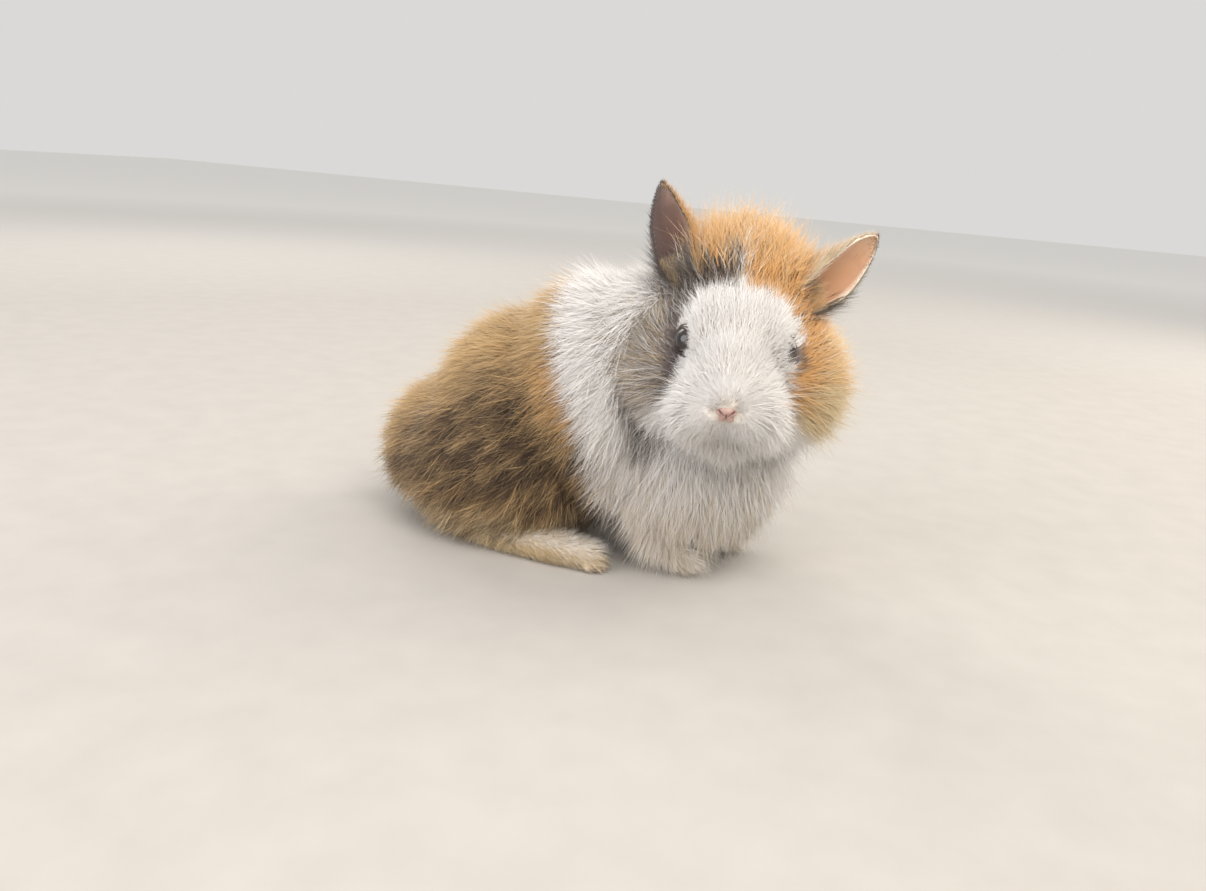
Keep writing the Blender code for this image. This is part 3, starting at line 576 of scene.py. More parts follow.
def tuft_paths(roots, normals, headings, length, stand, hang, swerve, draw):
    """The middle lines of tufts: out of the skin, over along the lie, and down by their weight."""
    run = np.sqrt(np.maximum(length ** 2 - stand ** 2, 0.01))[:, None, None]
    side = np.cross(normals, headings)
    bend = draw.normal(0, swerve, len(roots))
    paths = (roots[:, None]
             + headings[:, None] * run * STEPS
             + normals[:, None] * stand[:, None, None] * STEPS ** 0.7
             + side[:, None] * (length * bend)[:, None, None] * STEPS ** 2)
    paths[..., 2] -= (length * hang)[:, None] * STEPS[..., 0] ** 2
    return paths


def gathered(paths, roots, per_lock, pull, draw):
    """Draws the tips of neighbouring tufts together into soft locks."""
    count = max(1, len(roots) // per_lock)
    tree = KDTree(count)
    for index in range(count):
        tree.insert(roots[index], index)
    tree.balance()
    leader = np.array([tree.find(root)[1] for root in roots])
    strength = (draw.uniform(0.2, 1, count)[leader] * pull)[:, None, None]
    return paths + (paths[leader] - paths) * strength * STEPS ** 1.4


def off_floor(places):
    """Places eased up where they would pass through the floor."""
    low = places[..., 2]
    eased = FLOOR_ROOM + (FLOOR_EASE - FLOOR_ROOM) * np.exp(np.minimum(low - FLOOR_EASE, 0))
    places[..., 2] = np.where(low < FLOOR_EASE, eased, low)
    return places


def clear_of_eyes(places):
    """Whether places are outside the eyes and off the lines along which they look out."""
    fine = np.ones(places.shape[:-1], bool)
    for sign in SIDES:
        axis = eye_axis(sign)
        to = to_head(places) - eye_middle(sign)
        ahead = to @ axis
        off_axis = np.linalg.norm(to - ahead[..., None] * axis, axis=-1)
        fine &= (off_axis > EYE_OPENINGS[sign]) | (ahead < 0) | (ahead > EYE_REACH)
        fine &= np.linalg.norm(to, axis=-1) > EYE_RADIUS + EYE_ROOM
    return fine


def frames_along(ways, normals):
    """The three ways of a tuft's corners round its middle line."""
    side = unit(np.cross(ways, normals))
    up = np.cross(side, ways)
    return np.stack((-side * 0.5 - up * 0.2, side * 0.5 - up * 0.2, up * 0.4), axis=1)


def tuft_mesh(name, faces, points):
    """A mesh of tufts that share one form, from each tuft's points, and its faces' corners."""
    total, each = points.shape[:2]
    sizes = [len(face) for face in faces]
    corners = np.concatenate([np.array(face) for face in faces])
    loops = (corners[None] + np.arange(total)[:, None] * each).ravel()
    starts = np.concatenate(([0], np.cumsum(sizes)[:-1]))
    starts = (starts[None] + np.arange(total)[:, None] * len(corners)).ravel()
    mesh = bpy.data.meshes.new(name)
    mesh.vertices.add(total * each)
    mesh.vertices.foreach_set("co", ((points + SHIFT) * MM).astype(np.float32).ravel())
    mesh.loops.add(len(loops))
    mesh.loops.foreach_set("vertex_index", loops.astype(np.int32))
    mesh.polygons.add(len(starts))
    mesh.polygons.foreach_set("loop_start", starts.astype(np.int32))
    mesh.polygons.foreach_set("use_smooth", np.ones(len(starts), bool))
    mesh.update(calc_edges=True)
    return mesh, loops


def coat_piece(name, form, roots, normals, headings, uv, kind, length, stand, width,
               hang=0.05, swerve=0.14, spread=0.13, per_lock=9, pull=0.28, soft=SOFT_LIGHT,
               shares=None, seed=0):
    """Closed tapered tufts in one mesh, each parting into three points."""
    draw = np.random.default_rng(SEED * 1000 + seed)
    paths = tuft_paths(roots, normals, headings, length, stand, hang, swerve, draw)
    paths = gathered(paths, roots, per_lock, pull, draw)
    fine = clear_of_eyes(paths[:, 1:]).all(axis=1) & clear_of_eyes(paths[:, 1:].mean(axis=1))
    fine &= clear_of_eyes(paths[:, :2].mean(axis=1))
    paths, normals, uv = paths[fine], normals[fine], uv[fine]
    length, width = length[fine], width[fine]
    kind = kind if kind is None else kind[fine]
    total = len(paths)
    seen = paths[:, 0] + (paths[:, 2] - paths[:, 0]) * SEEN
    shares = marks(seen, kind) if shares is None else shares[fine]
    start = frames_along(unit(paths[:, 1] - paths[:, 0]), normals)
    last = frames_along(unit(paths[:, 2] - paths[:, 1]), normals)
    foot = paths[:, 0] - normals * ROOT_SINK
    wide = width[:, None, None]
    rings = [foot[:, None] + start * wide]
    if form is LOCK:
        rings.append(paths[:, 1, None] + last * wide)
        rings.append(paths[:, 1, None])
    else:
        rings.append(foot[:, None] + unit(paths[:, 1] - paths[:, 0])[:, None] * 0.3)
    reach = draw.uniform(0.75, 1.08, (total, 3, 1))
    apart = unit(last + np.roll(last, -1, axis=1)) * spread
    apart = apart + draw.normal(0, spread * 0.6, (total, 3, 3))
    base = paths[:, 1, None] if form is LOCK else paths[:, 0, None]
    rings.append(base + (paths[:, 2, None] - base) * reach + apart * length[:, None, None])
    points = off_floor(np.concatenate(rings, axis=1))
    each = points.shape[1]
    mesh, loops = tuft_mesh(name, form["faces"], points)
    # Light falls on the coat as on a soft whole, so each tuft leans towards the skin's normal
    top = unit(last[:, 2:])
    points_out = unit(top + 0.35 * unit(last + np.roll(last, -1, 1)))
    ring = [unit(last)] if form is LOCK else []
    own = np.concatenate([unit(start), *ring, top, points_out], axis=1)
    set_attribute(mesh, "custom_normal", "FLOAT_VECTOR", "POINT", "vector",
                  unit(own * (1 - soft) + normals[:, None] * soft))
    along, across = form["along"], form["across"]
    shade = np.repeat(draw.uniform(0.2, 0.8, (total, 1)), each, axis=1)
    shade[:, -3:] += draw.uniform(-0.2, 0.2, (total, 3))
    cool = np.ones(total) if kind is None else cool_share(seen, kind)
    strand = np.stack((np.broadcast_to(along, (total, each)), shade,
                       np.broadcast_to(cool[:, None], (total, each)),
                       np.ones((total, each))), axis=-1)
    set_attribute(mesh, "strand", "FLOAT_COLOR", "POINT", "color", strand.reshape(-1, 4))
    hairs = hair_shares(np.repeat(shares, 3, axis=0), draw).reshape(total, 3, 4)
    stem = np.repeat(hairs.mean(axis=1, keepdims=True), each - 3, axis=1)
    colours = colour_layers(np.concatenate((stem, hairs), axis=1).reshape(-1, 4))
    set_attribute(mesh, "coat", "FLOAT_COLOR", "POINT", "color", colours)
    patch = np.stack((across, along), axis=1) * TUFT_PATCH
    spots = (uv[:, None] + patch[None]).reshape(-1, 2)
    layer = mesh.uv_layers.new(name="OFBake")
    layer.data.foreach_set("uv", spots[loops].astype(np.float32).ravel())
    mesh.validate()
    piece = bpy.data.objects.new(name, mesh)
    bpy.context.scene.collection.objects.link(piece)
    return piece


def unwrapped(ground, chosen):
    """Corners on a map, for each of the chosen triangles, from an unwrap of the skin's shape."""
    used, again = np.unique(ground.triangles[chosen], return_inverse=True)
    piece = mesh_piece("unwrap", ground.points[used], again.reshape(-1, 3))
    bpy.context.view_layer.objects.active = piece
    piece.select_set(True)
    bpy.ops.object.mode_set(mode="EDIT")
    bpy.ops.mesh.select_all(action="SELECT")
    bpy.ops.uv.smart_project(angle_limit=math.radians(75), island_margin=0.004)
    bpy.ops.object.mode_set(mode="OBJECT")
    spots = read(piece.data.uv_layers.active.data, "uv", 2, np.float32)
    bpy.data.objects.remove(piece)
    return spots.reshape(-1, 3, 2)


def sown(ground, chosen, draw):
    """Roots spread over the chosen triangles, with their normals and places on the map."""
    maps = unwrapped(ground, chosen)
    triangles = ground.triangles[chosen]
    a, b, c = (ground.points[triangles[:, k]] for k in range(3))
    area = np.linalg.norm(np.cross(b - a, c - a), axis=1) / 2
    odds = area * density(ground.middles[chosen], ground.triangle_kind[chosen])
    count = int(odds.sum())
    picks = draw.choice(len(triangles), count, p=odds / odds.sum())
    u, v = np.sort(draw.random((2, count)), axis=0)
    mix = np.stack((u, v - u, 1 - v), axis=1)[..., None]
    roots = (ground.points[triangles[picks]] * mix).sum(axis=1)
    normals = unit((ground.normals[triangles[picks]] * mix).sum(axis=1))
    uv = (maps[picks] * mix).sum(axis=1) * (1 - 2 * TUFT_PATCH) + TUFT_PATCH / 2
    return roots, normals, uv


def along_skin(ways, normals):
    """Ways turned to run along the skin."""
    return unit(ways - normals * (ways * normals).sum(axis=1, keepdims=True))


def head_lie(roots):
    """Back from the nose, standing up on the crown and hanging on the cheeks."""
    q = to_head(roots)
    ways = unit(q - NOSE)
    ways[:, 2] += 0.3 * blend(4, 16, q[:, 2]) - 0.45 * blend(4, -10, q[:, 2])
    return ways @ HEAD_AXES.T


def trunk_lie(roots):
    """Down the chest, and back and down along the body."""
    y = roots[:, 1]
    spots = (-62, -36, -14, 10, 60)
    ways = ((-0.15, -0.3, -1), (-0.1, 0.25, -1), (0, 0.8, -0.8), (0, 1, -0.5), (0, 1, -0.55))
    return np.stack([np.interp(y, spots, parts) for parts in zip(*ways)], axis=1)


def lie(roots, kind, normals, draw, stray=0.2):
    """The way that the coat lies at each root, with some of it astray."""
    ways = trunk_lie(roots)
    ways[kind == HEAD] = head_lie(roots[kind == HEAD])
    ways[kind == LEG] = (0, 0.75, -0.75)
    foot = kind == FOOT
    down = blend(9, 16, roots[foot][:, 2])[:, None]
    ways[foot] = np.array((0, -0.9, -0.15)) * (1 - down) + np.array((0, 0.1, -1)) * down
    ways[kind == TAIL_PART] = (0, 0.5, 0.9)
    wilder = np.where(kind == TRUNK_PART, 1.15, 1)[:, None]
    ways = unit(ways) + draw.normal(0, stray, ways.shape) * wilder
    return along_skin(ways, normals)


def crown_share(q):
    return blend(12, 20, q[:, 2]) * blend(-8, 2, q[:, 1])


def head_length(q):
    """Short on the nose and behind the eyes, long on cheeks and crown."""
    from_nose = np.linalg.norm(q - NOSE, axis=1)
    size = np.interp(from_nose, (2.5, 5, 9, 15, 22, 30, 45, 60),
                     (3.2, 5.2, 9, 13, 14.5, 15, 17, 19))
    size = size - 3.5 * blend(-2, 5, q[:, 2]) * blend(8, 14, from_nose) * blend(-2, -10, q[:, 1])
    crown = crown_share(q)
    size = size * (1 - crown) + (20.5 + 2 * blend(2, -6, q[:, 0])) * crown
    for sign in SIDES:
        to = q - eye_middle(sign)
        from_eye = np.linalg.norm(to, axis=1)
        ahead = blend(0, -4, to[:, 1]) * (2.5 if sign > 0 else 0)
        size = np.minimum(size, np.interp(from_eye, (5, 9, 14), (2.6, 6, 30)) + ahead)
    return size


def coat_length(p, kind):
    """The coat's length at each place and how far its tips stand off the skin."""
    y, z = p[:, 1], p[:, 2]
    size = np.interp(y, (-60, -20, 10, 50, 66), (19, 19, 18, 17, 14))
    stand = np.interp(y, (-60, -30, 0, 40, 66), (12, 12, 12, 11, 9))
    under = blend(22, 6, z)
    size, stand = size * (1 - 0.45 * under), stand * (1 - 0.5 * under)
    size = size * (1 - 0.45 * blend(32, 14, z) * blend(-30, -44, y))
    head = kind == HEAD
    q = to_head(p[head])
    size[head] = head_length(q)
    cheek = blend(-24, 0, q[:, 1]) * (1 - 0.5 * blend(2, 10, q[:, 2]))
    puff = blend(1, -7, q[:, 2]) * blend(4, 10, np.linalg.norm(q - NOSE, axis=1))
    puff = puff * blend(14, 2, q[:, 1])
    size[head] = size[head] + 2.5 * puff
    rise = 0.36 + 0.22 * cheek * (1 - puff) + 0.36 * crown_share(q) + 0.36 * puff
    for sign in SIDES:
        to = q - eye_middle(sign)
        ahead = blend(13, 8, np.linalg.norm(to, axis=1)) * blend(1, -3, to[:, 1])
        rise = np.maximum(rise, 0.8 * ahead)
    stand[head] = size[head] * rise
    leg = kind == LEG
    size[leg] = np.interp(z[leg], (6, 22, 48), (13, 16, 16))
    stand[leg] = size[leg] * np.interp(z[leg], (6, 30), (0.55, 0.62))
    foot = kind == FOOT
    size[foot] = np.interp(z[foot], (2, 9, 20), (4.5, 8, 13)) * (1 + 0.5 * blend(-28, -34, y[foot]))
    stand[foot] = size[foot] * 0.46
    tail = kind == TAIL_PART
    size[tail], stand[tail] = 13, 8
    return size, stand


# How full the whole coat is, as a factor on the tufts to a square millimetre, and the share of
# them that are long and stand up
FULLNESS = 1.12
WILD_SHARE = 0.06


def density(p, kind):
    """Tufts to a square millimetre: close on the face, sparser where the belly hides."""
    y, z = p[:, 1], p[:, 2]
    thick = np.full(len(p), 2.0)
    q = to_head(p)
    near = np.linalg.norm(q - NOSE, axis=1)
    head = kind == HEAD
    thick[head] = np.interp(near[head], (0, 10, 20, 40, 60), (9, 7, 4.2, 3.2, 2.4))
    thick[kind == FOOT] = 1.8
    thick[(kind == TRUNK_PART) & (y < -8)] = 2.2
    return thick * (1 - 0.6 * blend(14, 4, z) * (kind != FOOT)) * FULLNESS


def coat_regions(ground):
    """The coat's pieces: the triangles that each grows on, its tufts' form, how wide they are and
    its slot."""
    p, kind = ground.middles, ground.triangle_kind
    q = to_head(p)
    head, trunk = kind == HEAD, kind == TRUNK_PART
    near = np.linalg.norm(q - NOSE, axis=1) < 9
    y = p[:, 1]
    front, middle = trunk & (y < -42), trunk & (y >= -42) & (y < -8)
    high = p[:, 2] >= 66
    return {
        "coat_nose": (head & near, FAN, 0.2, "torso_coat"),
        "coat_muzzle": (head & ~near & (q[:, 1] < -14), LOCK, 0.26, "head_coat"),
        "coat_brow": (head & (q[:, 1] >= -14) & (q[:, 1] < 0), LOCK, 0.27, "head_coat"),
        "coat_crown": (head & (q[:, 1] >= 0) & (q[:, 2] > 6), LOCK, 0.28, "head_coat"),
        "coat_cheeks": (head & (q[:, 1] >= 0) & (q[:, 2] <= 6), LOCK, 0.34, "head_coat"),
        "coat_chest": (front, LOCK, 0.3, "neck_coat"),
        "coat_collar": (middle & ~high, LOCK, 0.3, "neck_coat"),
        "coat_mane": (middle & high, LOCK, 0.3, "neck_coat"),
        "coat_flanks": (trunk & (y >= -8) & (y < 26), LOCK, 0.36, "torso_coat"),
        "coat_rump": ((trunk & (y >= 26)) | (kind == TAIL_PART), LOCK, 0.36, "tail_coat"),
        "coat_haunches": (kind == LEG, LOCK, 0.36, "leg_coat"),
        "coat_feet": (kind == FOOT, FAN, 0.26, "leg_coat"),
    }


def clear_of_face(roots):
    """Roots off the bare nose and the eyes' openings."""
    q = to_head(roots)
    fine = np.linalg.norm((q - NOSE - (0, -0.6, -0.3)) / (2.3, 3.2, 1.7), axis=1) > 1
    for sign in SIDES:
        axis = eye_axis(sign)
        to = q - eye_middle(sign)
        off_axis = np.linalg.norm(to - (to @ axis)[:, None] * axis, axis=1)
        fine &= (off_axis > 4.7) | (to @ axis < 0)
    return fine


def grow_coat(ground):
    """All pieces of the coat, each sown on its own stretch of skin, with their slots."""
    for index, (name, region) in enumerate(coat_regions(ground).items()):
        here, form, width, slot = region
        draw = np.random.default_rng(SEED + index)
        roots, normals, uv = sown(ground, np.flatnonzero(here), draw)
        keep = clear_of_face(roots)
        roots, normals, uv = roots[keep], normals[keep], uv[keep]
        kind = parts_of(roots)
        length, stand = coat_length(roots, kind)
        wild = draw.random(len(roots)) < WILD_SHARE
        length = length * np.where(wild, 1.25, draw.uniform(0.7, 1.1, len(roots)))
        stand = stand * np.where(wild, 1.25, draw.uniform(0.4, 1.05, len(roots)))
        headings = lie(roots, kind, normals, draw)
        thick = width * draw.uniform(0.75, 1.2, len(roots)) * np.where(wild, 0.7, 1)
        yield coat_piece(name, form, roots, normals, headings, uv, kind, length, stand, thick,
                         seed=index), slot


# Ears


def ear_frame(sign):
    """Turns the ear's own places into the head's frame: across, back and along."""
    root = np.array((sign * EAR_ROOT[0], *EAR_ROOT[1:]))
    tip = np.array(EAR_TIPS[sign], float)
    along = unit(tip - root)
    back = np.array((-sign * EAR_BACK[0], *EAR_BACK[1:]))
    back = unit(back - along * (back @ along))
    axes = np.stack((np.cross(back, along), back, along), axis=1)
    return axes, tip - along * EAR_LENGTH


def ear_half_width(u):
    """The ear's half width at each place along it, as a share of its widest."""
    rise = np.sin(np.pi / 2 * np.minimum(1, u / EAR_WIDEST))
    rise = EAR_ROOT_WIDTH + (1 - EAR_ROOT_WIDTH) * rise
    fall = np.maximum(0, (u - EAR_WIDEST) / (1 - EAR_WIDEST))
    return np.maximum(0.03, rise * np.maximum(0, 1 - fall ** EAR_POINT) ** 0.72)


def ear_point(u, v, sign, off=0.0):
    """A place on the ear, u along it and v across from -1 to 1, that far behind its middle."""
    bend = EAR_BEND_ROOT + (EAR_BEND_TIP - EAR_BEND_ROOT) * u
    radius = EAR_WIDTH / 2 * ear_half_width(u) / bend
    angle = v * bend
    ripple = 0.35 * np.sin(u * 11 + v * 2) * np.abs(v) ** 2
    reach = radius + off + ripple
    own = np.stack((reach * np.sin(angle), reach * np.cos(angle) - radius + EAR_LEAN * u * u,
                    EAR_LENGTH * u), axis=-1)
    axes, start = ear_frame(sign)
    return from_head(own @ axes.T + start)


def make_ear(name, sign):
    """A cupped ear: bare inside, a thin rounded rim, and its back under short fur."""
    rows, columns = EAR_ROWS, EAR_COLUMNS
    u = 0.12 + 0.88 * np.linspace(0, 1, rows + 1) ** 0.9
    v = np.sin(np.linspace(-1, 1, columns + 1) * np.pi / 2)
    uu, vv = np.meshgrid(u, v, indexing="ij")
    rounded = 0.4 + 0.6 * np.sqrt(np.maximum(0, 1 - vv ** 4))
    thin = EAR_THICKNESS / 2 * rounded * (1 - 0.5 * uu ** 3)
    back = ear_point(uu, vv, sign, thin)
    front = ear_point(uu, vv, sign, -thin)
    points = np.concatenate((back.reshape(-1, 3), front.reshape(-1, 3)))
    size = columns + 1
    layer = (rows + 1) * size
    faces = []
    for row in range(rows):
        for column in range(columns):
            a = row * size + column
            faces.append((a, a + 1, a + 1 + size, a + size))
            faces.append(tuple(layer + k for k in (a, a + size, a + 1 + size, a + 1)))
    border = list(range(columns)) + [r * size + columns for r in range(rows)]
    border += [rows * size + c for c in range(columns, 0, -1)]
    border += [r * size for r in range(rows, 0, -1)]
    for a, b in zip(border, border[1:] + border[:1]):
        faces.append((b, a, layer + a, layer + b))
    ear = smooth(mesh_piece(name, points, faces))
    inner = np.concatenate((np.zeros(layer), np.ones(layer)))
    where = np.stack((np.tile(uu.ravel(), 2), np.tile(vv.ravel(), 2) * 0.5 + 0.5, inner,
                      np.ones(2 * layer)), axis=1)
    set_attribute(ear.data, "ear", "FLOAT_COLOR", "POINT", "color", where)
    return ear


def ear_roots(u, v, sign, off, way):
    """Roots on one of the ear's faces, the way along it and the way out of it."""
    roots = ear_point(u, v, sign, off)
    along = unit(ear_point(u + EAR_STEP, v, sign, off) - roots)
    return roots, along, unit(ear_point(u, v, sign, off + way) - roots)


def ear_coat(name, sign, seed):
    """Short fur on the ear's back, a soft fringe on its rim and down at its root."""
    draw = np.random.default_rng(SEED + 50 + seed)
    count = EAR_HAIRS
    u = 0.1 + 0.88 * draw.random(count) ** 1.1
    v = draw.uniform(-0.97, 0.97, count)
    rim = draw.random(count) < RIM_SHARE
    v = np.where(rim, np.sign(v) * draw.uniform(0.93, 1.0, count), v)
    off = EAR_THICKNESS / 2 * 0.6
    roots, along, out = ear_roots(u, v, sign, off, 1)
    across = unit(ear_point(u, np.clip(v + EAR_STEP, -1, 1.02), sign, off)
                  - ear_point(u, v - EAR_STEP, sign, off))
    headings = unit(along + across * np.where(rim, np.sign(v) * 0.3, 0)[:, None]
                    + draw.normal(0, 0.14, (count, 3)))
    out = unit(np.where(rim[:, None], across * np.sign(v)[:, None] + 0.2 * out, out))
    headings = along_skin(headings, out)
    length = np.interp(u, (0.1, 0.35, 0.65, 1), (15, 11, 5.5, 2.2)) * draw.uniform(0.7, 1.2, count)
    length = length * np.where(rim, 0.35, 1)
    stand = length * np.where(rim, 0.1, 0.36)
    uv = np.stack((v * 0.47 + 0.5, u * 0.96 + 0.01), axis=1)
    if sign < 0:
        dark = 0.9 * blend(-0.1, 0.75, -v) + 0.3 * blend(0.6, 1, u)
        low = 0.5 * blend(0.35, 0.15, u)
        orange, cream = 0.85 * (1 - dark) * (1 - low), (1 - dark) * (0.1 + low)
        shares = np.stack((0 * u, orange, dark, cream), axis=1)
    else:
        pale = blend(0.7, 0.95, np.abs(v))
        shares = np.stack((0 * u, 0.8 * (1 - pale), 0 * u, 0.2 + 0.5 * pale), axis=1)
    shares = shares / np.maximum(1, shares.sum(axis=1, keepdims=True) + 1e-6)
    width = EAR_HAIR_WIDTH * draw.uniform(0.8, 1.2, count)
    return coat_piece(name, FAN, roots, out, headings, uv, None, length, stand, width,
                      shares=shares, seed=seed + 50, **EAR_TUFTS)


def ear_fringe(name, sign, seed):
    """Long hairs that rise out of the ear's cup over its lower third."""
    draw = np.random.default_rng(SEED + 60 + seed)
    count, height = CUP_HAIRS[sign]
    u = 0.12 + height * draw.random(count) ** 1.5
    v = draw.uniform(-1, 1, count)
    roots, along, out = ear_roots(u, v, sign, -EAR_THICKNESS / 2 * 0.8, -1)
    headings = along_skin(unit(along + draw.normal(0, 0.2, (count, 3))), out)
    length = np.interp(u, (0.12, 0.28, 0.42), (11, 7, 3)) * draw.uniform(0.6, 1.15, count)
    uv = np.stack((v * 0.47 + 0.5, u * 1.8 - 0.1), axis=1)
    shares = np.tile((0, 0.1, 0.5, 0.35) if sign < 0 else (0, 0.6, 0, 0.3), (count, 1))
    width = EAR_HAIR_WIDTH * draw.uniform(0.8, 1.2, count)
    return coat_piece(name, FAN, roots, out, headings, uv, None, length, length * 0.4, width,
                      shares=shares, seed=seed + 60, **EAR_TUFTS)


# Eyes, lids, nose, whiskers and claws

EYE_ROWS, EYE_COLUMNS = 36, 48
LID_STEPS = (56, 12)
LID_LONG, LID_UPPER, LID_LOWER = 4.75, 4.0, 3.7
LID_THICK, LID_WIDE = 0.4, 0.8
WHISKER_ROWS, ROW_WHISKERS, BROW_WHISKERS = 4, 5, 3
WHISKER_RADIUS, BROW_RADIUS, BROW_LONG = 0.085, 0.07, 12
CLAW_LONG, CLAW_RADIUS, CLAW_LOWEST = 4.2, 0.7, 0.45


def eye_axis(sign):
    """The way that an eye looks, in the head's frame."""
    return unit(np.array(EYE_WAYS[sign]))


def facing(axis):
    """Axes whose third one is the given way and whose second one points up."""
    side = unit(np.cross((0, 0, 1), axis))
    return np.stack((side, np.cross(axis, side), axis), axis=1)


def make_eye(name, sign):
    """An eyeball that swells to its cornea, with dark iris and pupil."""
    rows, columns = EYE_ROWS, EYE_COLUMNS
    axes = facing(eye_axis(sign))
    points = [(0, 0, 1.0)]
    for row in range(1, rows):
        polar = np.pi * row / rows
        for column in range(columns):
            angle = 2 * np.pi * column / columns
            points.append((math.sin(polar) * math.cos(angle), math.sin(polar) * math.sin(angle),
                           math.cos(polar)))
    points.append((0, 0, -1.0))
    points = np.array(points)
    polar = np.arccos(np.clip(points[:, 2], -1, 1))
    swell = 1 + 0.05 * blend(0.95, 0.2, polar)
    own = points * swell[:, None] * (EYE_RADIUS - 0.1)
    faces = [(0, 1 + c, 1 + (c + 1) % columns) for c in range(columns)]
    for row in range(rows - 2):
        for column in range(columns):
            start = 1 + row * columns
            a, b = start + column, start + (column + 1) % columns
            faces.append((a, a + columns, b + columns, b))
    last = 1 + (rows - 2) * columns
    faces += [(len(points) - 1, last + (c + 1) % columns, last + c) for c in range(columns)]
    eye = smooth(mesh_piece(name, from_head(own @ axes.T + eye_middle(sign)), faces))
    ring = np.stack((polar / np.pi, np.arctan2(points[:, 1], points[:, 0]) / (2 * np.pi) + 0.5,
                     np.zeros(len(points)), np.ones(len(points))), axis=1)
    set_attribute(eye.data, "eye_ring", "FLOAT_COLOR", "POINT", "color", ring)
    return eye


def make_lids(name, sign):
    """Upper and lower lid, meeting in two corners, as a soft rim that sits on the eyeball."""
    around, across = LID_STEPS
    axes = facing(eye_axis(sign))
    points = []
    for step in range(around):
        angle = 2 * np.pi * step / around
        high = LID_UPPER if math.sin(angle) > 0 else LID_LOWER
        corner = abs(math.cos(angle)) ** 6
        line = np.array((LID_LONG * math.cos(angle),
                         high * math.sin(angle) * (1 - 0.25 * corner), 0))
        line[2] = math.sqrt(EYE_RADIUS ** 2 - line[0] ** 2 - line[1] ** 2) + 0.1
        out = unit(np.array((line[0], line[1], 0)))
        thick = LID_THICK + 0.15 * corner
        for turn in range(across):
            bend = 2 * np.pi * turn / across
            rise = thick * math.sin(bend) - 0.45 - 0.35 * math.cos(bend)
            points.append(line + out * (0.5 + LID_WIDE * math.cos(bend))
                          + np.array((0, 0, 1)) * rise)
    faces = []
    for step in range(around):
        here, there = step * across, (step + 1) % around * across
        for turn in range(across):
            after = (turn + 1) % across
            faces.append((here + turn, there + turn, there + after, here + after))
    places = from_head(np.array(points) @ axes.T + eye_middle(sign))
    return smooth(mesh_piece(name, places, faces))


def make_nose():
    """The bare nose: a soft pad between slanted nostrils, cleft down to the lips."""
    work = bmesh.new()
    for middle, radii in NOSE_FORMS:
        head_ball(work, middle, radii)
    nose = grown_together("nose", work, NOSE_VOXEL, NOSE_ROUNDS)
    q = to_head(read(nose.data.vertices, "co", 3) / MM - SHIFT)
    groove = np.zeros(len(q))
    for start, end, wide, deep in NOSE_GROOVES:
        start, run = np.array(start), np.array(end) - np.array(start)
        share = np.clip(((q - start) @ run) / (run @ run), 0, 1)
        off = (q - (start + share[:, None] * run))[:, [0, 2]]
        groove = np.maximum(groove, deep * np.exp(-(np.linalg.norm(off, axis=1) / wide) ** 2))
    groove = groove * (q[:, 1] < NOSE_FACE)
    q[:, 1] += groove
    nose.data.vertices.foreach_set("co", ((from_head(q) + SHIFT) * MM).ravel())
    value = np.stack((groove, groove, groove, np.ones(len(q))), axis=1)
    set_attribute(nose.data, "groove", "FLOAT_COLOR", "POINT", "color", value)
    nose.data.update()
    return nose


def thread(line, radius, sides=5):
    """A closed hair along a line of points, drawn to a point."""
    line = np.asarray(line, float)
    along = unit(np.gradient(line, axis=0))
    side = unit(np.cross(along, (0.1, 0.2, 1)))
    up = np.cross(side, along)
    points, faces = [], []
    for index in range(len(line) - 1):
        thick = radius * (1 - index / (len(line) - 1)) ** 0.7
        for corner in range(sides):
            angle = 2 * np.pi * corner / sides
            spoke = side[index] * math.cos(angle) + up[index] * math.sin(angle)
            points.append(line[index] + spoke * thick)
    points.append(line[-1])
    faces.append(tuple(range(sides)))
    for ring in range(len(line) - 2):
        for corner in range(sides):
            other = (corner + 1) % sides
            faces.append((ring * sides + corner, (ring + 1) * sides + corner,
                          (ring + 1) * sides + other, ring * sides + other))
    last = (len(line) - 2) * sides
    for corner in range(sides):
        faces.append((last + corner, len(points) - 1, last + (corner + 1) % sides))
    return np.array(points), faces


def joined(name, parts):
    """Many small closed shapes as one piece."""
    points, faces, start = [], [], 0
    for some, corners in parts:
        points.append(some)
        faces += [tuple(start + c for c in face) for face in corners]
        start += len(some)
    return smooth(mesh_piece(name, np.concatenate(points), faces))


def make_whiskers():
    """Whiskers in four rows on each pad, and a few over the eyes."""
    draw = np.random.default_rng(SEED + 90)
    parts = []
    for sign in SIDES:
        for row in range(WHISKER_ROWS):
            for place in range(ROW_WHISKERS):
                root = np.array((sign * (5.6 + 0.9 * place), -29.5 + 2.1 * place,
                                 -5.6 - 1.9 * row))
                way = unit((sign * (1 + 0.1 * place), -0.15 + 0.18 * place, 0.35 - 0.28 * row)
                           + draw.normal(0, 0.06, 3))
                long = (17 + 3 * place) * draw.uniform(0.8, 1.05)
                share = np.linspace(0, 1, 9)[:, None]
                sag = np.array((0, 0.22, -0.16)) * long * share ** 2
                parts.append(thread(from_head(root + way * long * share + sag), WHISKER_RADIUS))
        for place in range(BROW_WHISKERS):
            root = eye_middle(sign) + (sign * (1.5 - place), -2.0 + 2 * place, 6.8)
            way = unit((sign * 0.8, -0.4 + 0.2 * place, 0.8))
            share = np.linspace(0, 1, 7)[:, None]
            sag = np.array((0, 0.3, -0.2)) * BROW_LONG * share ** 2
            parts.append(thread(from_head(root + way * BROW_LONG * share + sag), BROW_RADIUS))
    return joined("whiskers", parts)


